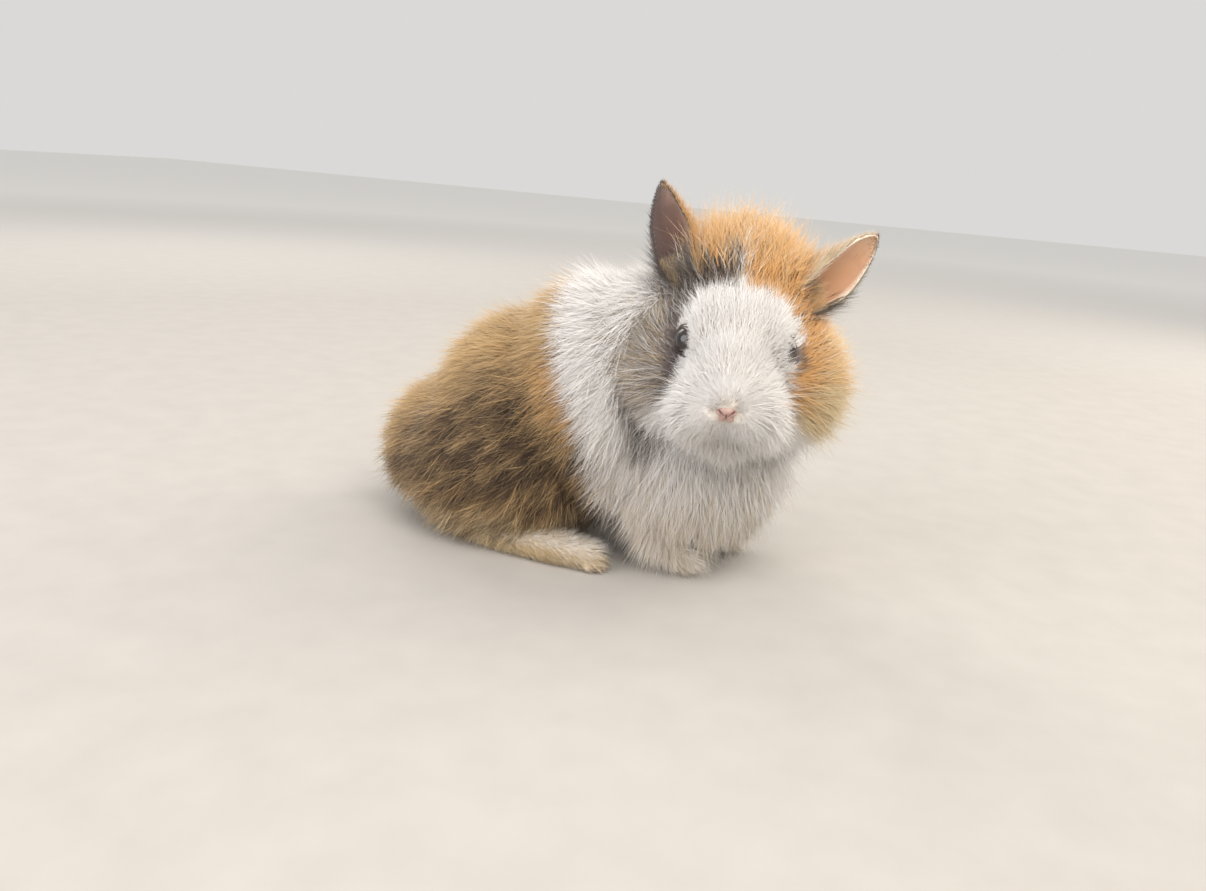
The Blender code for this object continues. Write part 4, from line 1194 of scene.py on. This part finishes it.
def make_claws():
    """Small curved claws, one to a toe."""
    parts = []
    share = np.linspace(0, 1, 7)[:, None]
    for line, _ in feet():
        places, ahead = toe_places(line)
        for place in places:
            claw = place + ahead * (TOE_RADIUS * 0.7) + ahead * CLAW_LONG * share
            claw = claw - np.array((0, 0, 1.5)) * share ** 2
            claw[:, 2] = np.maximum(claw[:, 2], CLAW_LOWEST)
            parts.append(thread(claw, CLAW_RADIUS, 8))
    return joined("claws", parts)


# Finishes


def linear(code):
    """An sRGB hex colour as linear red, green and blue."""
    parts = [int(code[k:k + 2], 16) / 255 for k in (1, 3, 5)]
    return [c / 12.92 if c <= 0.04045 else ((c + 0.055) / 1.055) ** 2.4 for c in parts] + [1]


def scale_of(size):
    """A pattern's scale from the size of its bumps in millimetres, as meshes are in metres."""
    return 1 / (size * MM)


def node(tree, kind, settings=(), **links):
    """Adds a node. Its settings are properties, socket values or colour stops. Each link names a
    socket, or gives its number after an i, and is a value or another node's output."""
    made = tree.nodes.new(kind)
    for name, value in dict(settings).items():
        if name == "stops":
            band = made.color_ramp
            while len(band.elements) > 1:
                band.elements.remove(band.elements[-1])
            for index, (place, code) in enumerate(value):
                spot = band.elements[0] if index == 0 else band.elements.new(place)
                spot.position = place
                spot.color = linear(code)
        elif name in made.inputs and not hasattr(made, name):
            made.inputs[name].default_value = value
        else:
            setattr(made, name, value)
    for name, source in links.items():
        key = int(name[1:]) if name[1:].isdigit() else name.replace("_", " ")
        if isinstance(source, (tuple, list, float, int)):
            made.inputs[key].default_value = source
        else:
            tree.links.new(source, made.inputs[key])
    return made


def finish(name, values):
    """A new finish with its tree and its shader, set to some values."""
    made = bpy.data.materials.new(name)
    made.use_nodes = True
    shader = made.node_tree.nodes["Principled BSDF"]
    for socket, value in values.items():
        shader.inputs[socket].default_value = value
    return made, made.node_tree, shader


MIX = {"data_type": "RGBA"}

# Rabbit wool: hollow keratin hairs that are clear at the tip and coloured by melanin, so each hair
# is deeper at its root and pale at its tip, and the coat has a soft sheen but no gloss. Each kind
# of hair runs from its root to its tip.
HAIRS = {
    "white": ((0, "#E4DCD2"), (0.3, "#F2EDE7"), (1, "#F8F6F4")),
    "fawn": ((0, "#8A745A"), (0.35, "#B69466"), (0.75, "#C9A674"), (1, "#E6CB9E")),
    "orange": ((0, "#BD956A"), (0.35, "#D9A263"), (0.75, "#E6AF6C"), (1, "#F6CF97")),
    "brown": ((0, "#4B3E33"), (0.45, "#382C23"), (0.75, "#4A3A2D"), (1, "#8A6F4F")),
    "grey": ((0, "#6A605D"), (0.45, "#564B4A"), (0.8, "#6E6260"), (1, "#A09389")),
    "cream": ((0, "#AE946E"), (0.4, "#D6B98A"), (1, "#F1DDB6")),
}


def coat_colour(tree, along, shade, cool):
    """The coat's colours, laid one over another by the marks of each place."""
    coat = node(tree, "ShaderNodeAttribute", {"attribute_name": "coat"})
    parts = node(tree, "ShaderNodeSeparateColor", i0=coat.outputs["Color"])
    hairs = {name: node(tree, "ShaderNodeValToRGB", {"stops": stops}, i0=along).outputs[0]
             for name, stops in HAIRS.items()}
    dark = node(tree, "ShaderNodeMix", MIX, i0=cool, i6=hairs["brown"], i7=hairs["grey"])
    colour = hairs["white"]
    for share, over in ((parts.outputs[0], hairs["fawn"]), (parts.outputs[1], hairs["orange"]),
                        (parts.outputs[2], dark.outputs[2]),
                        (coat.outputs["Alpha"], hairs["cream"])):
        colour = node(tree, "ShaderNodeMix", MIX, i0=share, i6=colour, i7=over).outputs[2]
    tone = node(tree, "ShaderNodeMapRange", {"To Min": 0.84, "To Max": 1.1}, Value=shade)
    tone = tone.outputs[0]
    grey = node(tree, "ShaderNodeCombineColor", i0=tone, i1=tone, i2=tone)
    return node(tree, "ShaderNodeMix", {**MIX, "blend_type": "MULTIPLY"}, i0=1.0, i6=colour,
                i7=grey.outputs[0]).outputs[2]


def wool_finish():
    """Grown hair: soft, matt, with the light sheen of many fine fibres."""
    made, tree, shader = finish("rabbit_wool", {
        "Roughness": 0.62, "IOR": 1.5, "Specular IOR Level": 0.3, "Sheen Weight": 0.3,
        "Sheen Roughness": 0.45})
    strand = node(tree, "ShaderNodeAttribute", {"attribute_name": "strand"})
    parts = node(tree, "ShaderNodeSeparateColor", i0=strand.outputs["Color"])
    colour = coat_colour(tree, parts.outputs[0], parts.outputs[1], parts.outputs[2])
    tree.links.new(colour, shader.inputs["Base Color"])
    return made


# Bumps of the underwool, as wide as a lock's root
UNDERWOOL_SPECK = 1.1
UNDERWOOL_DEPTH = 0.6


def underwool_finish():
    """The dense matt underwool at the skin: the coat's root colours in specks, which fill the gaps
    between locks."""
    made, tree, shader = finish("rabbit_underwool", {"Roughness": 0.9, "Sheen Weight": 0.3})
    place = node(tree, "ShaderNodeTexCoord")
    specks = node(tree, "ShaderNodeTexNoise", {"Scale": scale_of(UNDERWOOL_SPECK), "Detail": 3.0},
                  Vector=place.outputs["Object"])
    along = node(tree, "ShaderNodeMapRange", {"To Min": 0.2, "To Max": 0.65},
                 Value=specks.outputs["Fac"])
    strand = node(tree, "ShaderNodeAttribute", {"attribute_name": "strand"})
    cool = node(tree, "ShaderNodeSeparateColor", i0=strand.outputs["Color"])
    colour = coat_colour(tree, along.outputs[0], specks.outputs["Fac"], cool.outputs[2])
    tree.links.new(colour, shader.inputs["Base Color"])
    bump = node(tree, "ShaderNodeBump", {"Strength": 0.5, "Distance": UNDERWOOL_DEPTH * MM},
                Height=specks.outputs["Fac"])
    tree.links.new(bump.outputs[0], shader.inputs["Normal"])
    return made


# Ear skin: stains, the mesh of veins, and down, whose hairs are drawn wider apart than the real
# 0.1 mm so that they show
EAR_STAIN = 6.0
EAR_VEINS = 10.5
EAR_DOWN = 0.4
EAR_DOWN_DEPTH = 0.2
VEIN = "#A85C55"
EAR_SHADE = "#2B2120"
# The inner side's colours from root to tip, the rim's, the stains' and how strong they are, and
# how deep the outer half is shaded
EAR_SKINS = {
    -1: (((0.2, "#553A2D"), (0.5, "#7A5142"), (0.8, "#8A6656"), (1, "#9E8A83")),
         "#3A302E", "#4C342B", 0.4, 0.72),
    1: (((0.15, "#A97A52"), (0.5, "#B78862"), (0.85, "#C59C7A"), (1, "#DCC0A4")),
        "#F3E4D2", "#C98F6E", 0.3, 0.0),
}


def ear_finish(name, inner, rim, stain, stain_amount, shaded):
    """Thin living skin: blood shows pink through it, with darker veins and a dry, downy surface."""
    made, tree, shader = finish(name, {
        "Roughness": 0.6, "Sheen Weight": 0.35, "Subsurface Weight": 0.12,
        "Subsurface Radius": (1.0, 0.35, 0.2), "Subsurface Scale": 1.5 * MM})
    ear = node(tree, "ShaderNodeAttribute", {"attribute_name": "ear"})
    parts = node(tree, "ShaderNodeSeparateColor", i0=ear.outputs["Color"])
    place = node(tree, "ShaderNodeTexCoord")
    blotch = node(tree, "ShaderNodeTexNoise", {
        "Scale": scale_of(EAR_STAIN), "Detail": 4.0, "Roughness": 0.6},
        Vector=place.outputs["Object"])
    veins = node(tree, "ShaderNodeTexVoronoi", {
        "feature": "DISTANCE_TO_EDGE", "Scale": scale_of(EAR_VEINS)},
        Vector=place.outputs["Object"])
    line = node(tree, "ShaderNodeMapRange", {"From Max": 0.12, "To Min": 0.16, "To Max": 0.0},
                Value=veins.outputs["Distance"])
    down = node(tree, "ShaderNodeTexNoise", {"Scale": scale_of(EAR_DOWN), "Detail": 2.0},
                Vector=place.outputs["Object"])
    # Painted shade on the outer half of the ear's inner side, as deep as its shaded value
    outside = node(tree, "ShaderNodeMapRange", {
        "From Min": 0.72, "From Max": 0.2, "To Max": shaded}, Value=parts.outputs[1])
    off_middle = node(tree, "ShaderNodeMath", {"operation": "SUBTRACT"}, i0=parts.outputs[1],
                      i1=0.5)
    off_middle = node(tree, "ShaderNodeMath", {"operation": "ABSOLUTE"}, i0=off_middle.outputs[0])
    edge = node(tree, "ShaderNodeMapRange", {"From Min": 0.4, "From Max": 0.49},
                Value=off_middle.outputs[0])
    stained = node(tree, "ShaderNodeMapRange", {
        "From Min": 0.42, "From Max": 0.6, "To Max": stain_amount}, Value=blotch.outputs["Fac"])
    colour = node(tree, "ShaderNodeValToRGB", {"stops": inner}, i0=parts.outputs[0]).outputs[0]
    for share, over in ((line, VEIN), (outside, EAR_SHADE), (edge, rim), (stained, stain)):
        colour = node(tree, "ShaderNodeMix", MIX, i0=share.outputs[0], i6=colour,
                      i7=linear(over)).outputs[2]
    tree.links.new(colour, shader.inputs["Base Color"])
    bump = node(tree, "ShaderNodeBump", {"Strength": 0.25, "Distance": EAR_DOWN_DEPTH * MM},
                Height=down.outputs["Fac"])
    tree.links.new(bump.outputs[0], shader.inputs["Normal"])
    return made


# Nose leather: its pebbles, how deep they are, and the patches of stronger pink
NOSE_PEBBLE = 0.3
NOSE_PEBBLE_DEPTH = 0.15
NOSE_PATCH = 2.0


def nose_finish():
    """Nose leather: pebbled, moist bare skin, pink, with painted shade and deeper pink in its
    creases.
    """
    made, tree, shader = finish("nose_leather", {
        "Roughness": 0.42, "Subsurface Weight": 0.12, "Subsurface Radius": (1.0, 0.45, 0.35),
        "Subsurface Scale": 0.8 * MM})
    groove = node(tree, "ShaderNodeAttribute", {"attribute_name": "groove"})
    deep = node(tree, "ShaderNodeSeparateColor", i0=groove.outputs["Color"])
    place = node(tree, "ShaderNodeTexCoord")
    pebbles = node(tree, "ShaderNodeTexVoronoi", {"Scale": scale_of(NOSE_PEBBLE)},
                   Vector=place.outputs["Object"])
    tint = node(tree, "ShaderNodeTexNoise", {"Scale": scale_of(NOSE_PATCH)},
                Vector=place.outputs["Object"])
    pink = node(tree, "ShaderNodeValToRGB", {"stops": ((0.3, "#B7968C"), (0.7, "#C6A99F"))},
                i0=tint.outputs["Fac"])
    # Painted shade, mixed with the skin's deeper colour there, darkens the cleft and nostrils as
    # they grow deeper
    colour = node(tree, "ShaderNodeMix", MIX, i0=deep.outputs[0], i6=pink.outputs[0],
                  i7=linear("#6B3C40"))
    tree.links.new(colour.outputs[2], shader.inputs["Base Color"])
    bump = node(tree, "ShaderNodeBump", {"Strength": 0.3, "Distance": NOSE_PEBBLE_DEPTH * MM},
                Height=pebbles.outputs["Distance"])
    tree.links.new(bump.outputs[0], shader.inputs["Normal"])
    return made


# Folds of the eyelids
LID_FOLD = 0.7
LID_FOLD_DEPTH = 0.2


def lid_finish():
    """Eyelid skin: thin, dark at the wet rim, with fine folds."""
    made, tree, shader = finish("eyelid_skin", {"Roughness": 0.45})
    place = node(tree, "ShaderNodeTexCoord")
    folds = node(tree, "ShaderNodeTexNoise", {"Scale": scale_of(LID_FOLD), "Detail": 3.0},
                 Vector=place.outputs["Object"])
    colour = node(tree, "ShaderNodeValToRGB", {"stops": ((0.35, "#2E2627"), (0.65, "#4A3D3B"))},
                  i0=folds.outputs["Fac"])
    tree.links.new(colour.outputs[0], shader.inputs["Base Color"])
    bump = node(tree, "ShaderNodeBump", {"Strength": 0.4, "Distance": LID_FOLD_DEPTH * MM},
                Height=folds.outputs["Fac"])
    tree.links.new(bump.outputs[0], shader.inputs["Normal"])
    return made


# The iris's radius and the width of one of its rays; a wave's bands are pi / 10 apart at scale 1
IRIS_RADIUS = 4.2
IRIS_RAY = 0.5
WAVE_BAND = math.pi / 10
# Where pupil and iris end, as shares of the half circle from the front of the eye to its back
PUPIL_EDGE = (0.13, 0.16)
IRIS_EDGE = (0.25, 0.31)


def eye_finish(name):
    """A wet cornea over a dark brown iris with fine rays, and a black pupil."""
    made, tree, shader = finish(name, {
        "Roughness": 0.08, "IOR": 1.376, "Coat Weight": 1.0, "Coat Roughness": 0.02})
    ring = node(tree, "ShaderNodeAttribute", {"attribute_name": "eye_ring"})
    parts = node(tree, "ShaderNodeSeparateColor", i0=ring.outputs["Color"])
    rays = node(tree, "ShaderNodeTexWave", {
        "bands_direction": "Y", "Scale": 2 * math.pi * IRIS_RADIUS / IRIS_RAY * WAVE_BAND,
        "Distortion": 6.0, "Detail": 3.0}, Vector=ring.outputs["Color"])
    iris = node(tree, "ShaderNodeMix", MIX, i0=rays.outputs["Fac"], i6=linear("#17110E"),
                i7=linear("#32241E"))
    pupil, rim = (node(tree, "ShaderNodeMapRange", {"From Min": low, "From Max": high},
                       Value=parts.outputs[0]) for low, high in (PUPIL_EDGE, IRIS_EDGE))
    colour = node(tree, "ShaderNodeMix", MIX, i0=pupil.outputs[0], i6=linear("#040405"),
                  i7=iris.outputs[2])
    colour = node(tree, "ShaderNodeMix", MIX, i0=rim.outputs[0], i6=colour.outputs[2],
                  i7=linear("#0B090A"))
    tree.links.new(colour.outputs[2], shader.inputs["Base Color"])
    return made


# Growth bands of a claw
CLAW_BAND = 1.4


def horn_finish():
    """Claw horn: smooth grown keratin, pale at the tip, a little glossy."""
    made, tree, shader = finish("claw_horn", {"Roughness": 0.32, "IOR": 1.55})
    place = node(tree, "ShaderNodeTexCoord")
    bands = node(tree, "ShaderNodeTexNoise", {"Scale": scale_of(CLAW_BAND), "Detail": 2.0},
                 Vector=place.outputs["Object"])
    colour = node(tree, "ShaderNodeValToRGB", {"stops": ((0.3, "#8C7562"), (0.7, "#C8B49C"))},
                  i0=bands.outputs["Fac"])
    tree.links.new(colour.outputs[0], shader.inputs["Base Color"])
    return made


# Length over which a whisker's tone shifts
WHISKER_TONE = 11.0


def whisker_finish():
    """Whisker keratin: stiff, white and slightly glossy."""
    made, tree, shader = finish("whisker_keratin", {"Roughness": 0.35, "IOR": 1.55})
    place = node(tree, "ShaderNodeTexCoord")
    tone = node(tree, "ShaderNodeTexNoise", {"Scale": scale_of(WHISKER_TONE)},
                Vector=place.outputs["Object"])
    colour = node(tree, "ShaderNodeValToRGB", {"stops": ((0.3, "#D8CFC6"), (0.7, "#F8F5F0"))},
                  i0=tone.outputs["Fac"])
    tree.links.new(colour.outputs[0], shader.inputs["Base Color"])
    return made


# Clouding of the paper, and where it starts and ends to grow paler, so that its far edge is soft
PAPER_CLOUD = 17.0
PAPER_NEAR, PAPER_FAR = 600, 2000


def floor_finish():
    """Studio paper: pressed, matt, pale and even."""
    made, tree, shader = finish("studio_paper", {"Roughness": 0.95})
    place = node(tree, "ShaderNodeTexCoord")
    cloud = node(tree, "ShaderNodeTexNoise", {"Scale": scale_of(PAPER_CLOUD), "Detail": 4.0},
                 Vector=place.outputs["Object"])
    near = node(tree, "ShaderNodeValToRGB", {"stops": ((0.3, "#B9B5AF"), (0.7, "#BEBAB4"))},
                i0=cloud.outputs["Fac"])
    away = node(tree, "ShaderNodeVectorMath", {"operation": "LENGTH"}, i0=place.outputs["Object"])
    share = node(tree, "ShaderNodeMapRange", {
        "From Min": PAPER_NEAR * MM, "From Max": PAPER_FAR * MM}, Value=away.outputs["Value"])
    colour = node(tree, "ShaderNodeMix", MIX, i0=share.outputs[0], i6=near.outputs[0],
                  i7=linear("#F0EEEB"))
    tree.links.new(colour.outputs[2], shader.inputs["Base Color"])
    return made


# The studio

VIEW_AZIMUTH = math.radians(-70.23)
VIEW_ELEVATION = math.radians(15.4)
VIEW_ROLL = math.radians(4.8)
VIEW_DISTANCE = 366.8
VIEW_TARGET = (3.76, -8.8, 34.19)
VIEW_LENS = 29.85

# Each light's place, size, power and colour, and what they all face
LIGHTS = {
    "key": ((-0.65, -0.55, 0.95), 0.9, 10.0, "#FFF8F0"),
    "fill": ((-0.75, 0.55, 0.45), 0.8, 4.6, "#F8F6FA"),
    "side": ((0.6, -0.6, 0.6), 0.8, 4.5, "#FFF4E8"),
    "back": ((0.6, 0.7, 0.8), 0.8, 4.0, "#FFF8F2"),
}
LIT_PLACE = (0, 0, 0.06)
ROOM_LIGHT, ROOM_STRENGTH = "#E9E8E6", 0.86
FLOOR_HALF = 4.0


def make_camera():
    """The photo's viewing angle, its lens and its slight lean."""
    back = Vector((math.sin(VIEW_AZIMUTH) * math.cos(VIEW_ELEVATION),
                   -math.cos(VIEW_AZIMUTH) * math.cos(VIEW_ELEVATION), math.sin(VIEW_ELEVATION)))
    across = Vector((0, 0, 1)).cross(back).normalized()
    axes = Matrix((across, back.cross(across), back)).transposed()
    axes = axes @ Matrix.Rotation(VIEW_ROLL, 3, "Z")
    camera = bpy.data.objects.new("camera", bpy.data.cameras.new("camera"))
    camera.data.lens = VIEW_LENS
    camera.data.sensor_width = 36
    camera.data.clip_start = 0.01
    place = Vector((np.array(VIEW_TARGET) + SHIFT) * MM) + back * VIEW_DISTANCE * MM
    camera.matrix_world = Matrix.Translation(place) @ axes.to_4x4()
    bpy.context.scene.collection.objects.link(camera)
    bpy.context.scene.camera = camera


def soft_light(name, place, size, power, colour):
    light = bpy.data.lights.new(name, "AREA")
    light.shape = "DISK"
    light.size = size
    light.energy = power
    light.color = linear(colour)[:3]
    lamp = bpy.data.objects.new(name, light)
    lamp.location = place
    way = Vector(LIT_PLACE) - Vector(place)
    lamp.rotation_euler = way.to_track_quat("-Z", "Y").to_euler()
    bpy.context.scene.collection.objects.link(lamp)


def make_studio():
    """A plain pale floor under soft light from above, from the camera's side and from behind."""
    floor = bpy.data.meshes.new("floor")
    corners = ((-1, -1), (1, -1), (1, 1), (-1, 1))
    floor.from_pydata([(x * FLOOR_HALF, y * FLOOR_HALF, 0) for x, y in corners], [], [(0, 1, 2, 3)])
    ground = bpy.data.objects.new("floor", floor)
    floor.materials.append(floor_finish())
    bpy.context.scene.collection.objects.link(ground)
    for name, light in LIGHTS.items():
        soft_light(name, *light)
    world = bpy.data.worlds.new("studio")
    world.use_nodes = True
    room = world.node_tree.nodes["Background"]
    room.inputs["Color"].default_value = linear(ROOM_LIGHT)
    room.inputs["Strength"].default_value = ROOM_STRENGTH
    bpy.context.scene.world = world
    bpy.context.scene.view_settings.view_transform = "Standard"


def dress(piece, material, slot):
    """Gives a piece its finish and its place on the body. Its slot is not used."""
    piece.data.materials.clear()
    piece.data.materials.append(material)
    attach(piece, "root")
    return piece


def mark_skin(skin, ground):
    """The coat's marks on the skin under it, dark round the eyes."""
    shares = marks(ground.points, ground.kind)
    for sign in SIDES:
        near = np.linalg.norm(to_head(ground.points) - eye_middle(sign), axis=1)
        rim = blend(9.5, 7, near)[:, None]
        shares = shares * (1 - rim) + np.array((0, 0, 0.95, 0)) * rim
    cool = cool_share(ground.points, ground.kind)
    for name, values in (("coat", colour_layers(shares)), ("strand", np.stack([cool] * 4, axis=1))):
        set_attribute(skin.data, name, "FLOAT_COLOR", "POINT", "color", values)


def main():
    make_camera()
    make_studio()
    wool, underwool = wool_finish(), underwool_finish()
    skin = make_skin()
    ground = Ground(skin)
    mark_skin(skin, ground)
    dress(skin, underwool, "torso_coat")
    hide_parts("head", "neck", "torso", "tail", "front_leg_left", "front_leg_right",
                "hind_leg_left", "hind_leg_right")
    for piece, slot in grow_coat(ground):
        dress(piece, wool, slot)
    for name, sign in (("right", -1), ("left", 1)):
        skin_of_ear = ear_finish(f"ear_skin_{name}", *EAR_SKINS[sign])
        ear = dress(make_ear(f"ear_{name}_shell", sign), skin_of_ear, "ear_skin")
        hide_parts(f"ear_{name}")
        dress(ear_coat(f"coat_ear_{name}", sign, sign + 1), wool, "ear_skin")
        dress(ear_fringe(f"coat_ear_{name}_cup", sign, sign + 1), wool, "ear_skin")
        eye = dress(make_eye(f"eye_{name}_ball", sign), eye_finish(f"eye_{name}_wet"), "eye")
        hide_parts(f"eye_{name}")
        dress(make_lids(f"lids_{name}", sign), lid_finish(), "head_coat")
    dress(make_nose(), nose_finish(), "head_coat")
    dress(make_whiskers(), whisker_finish(), "head_coat")
    dress(make_claws(), horn_finish(), "leg_coat")


main()
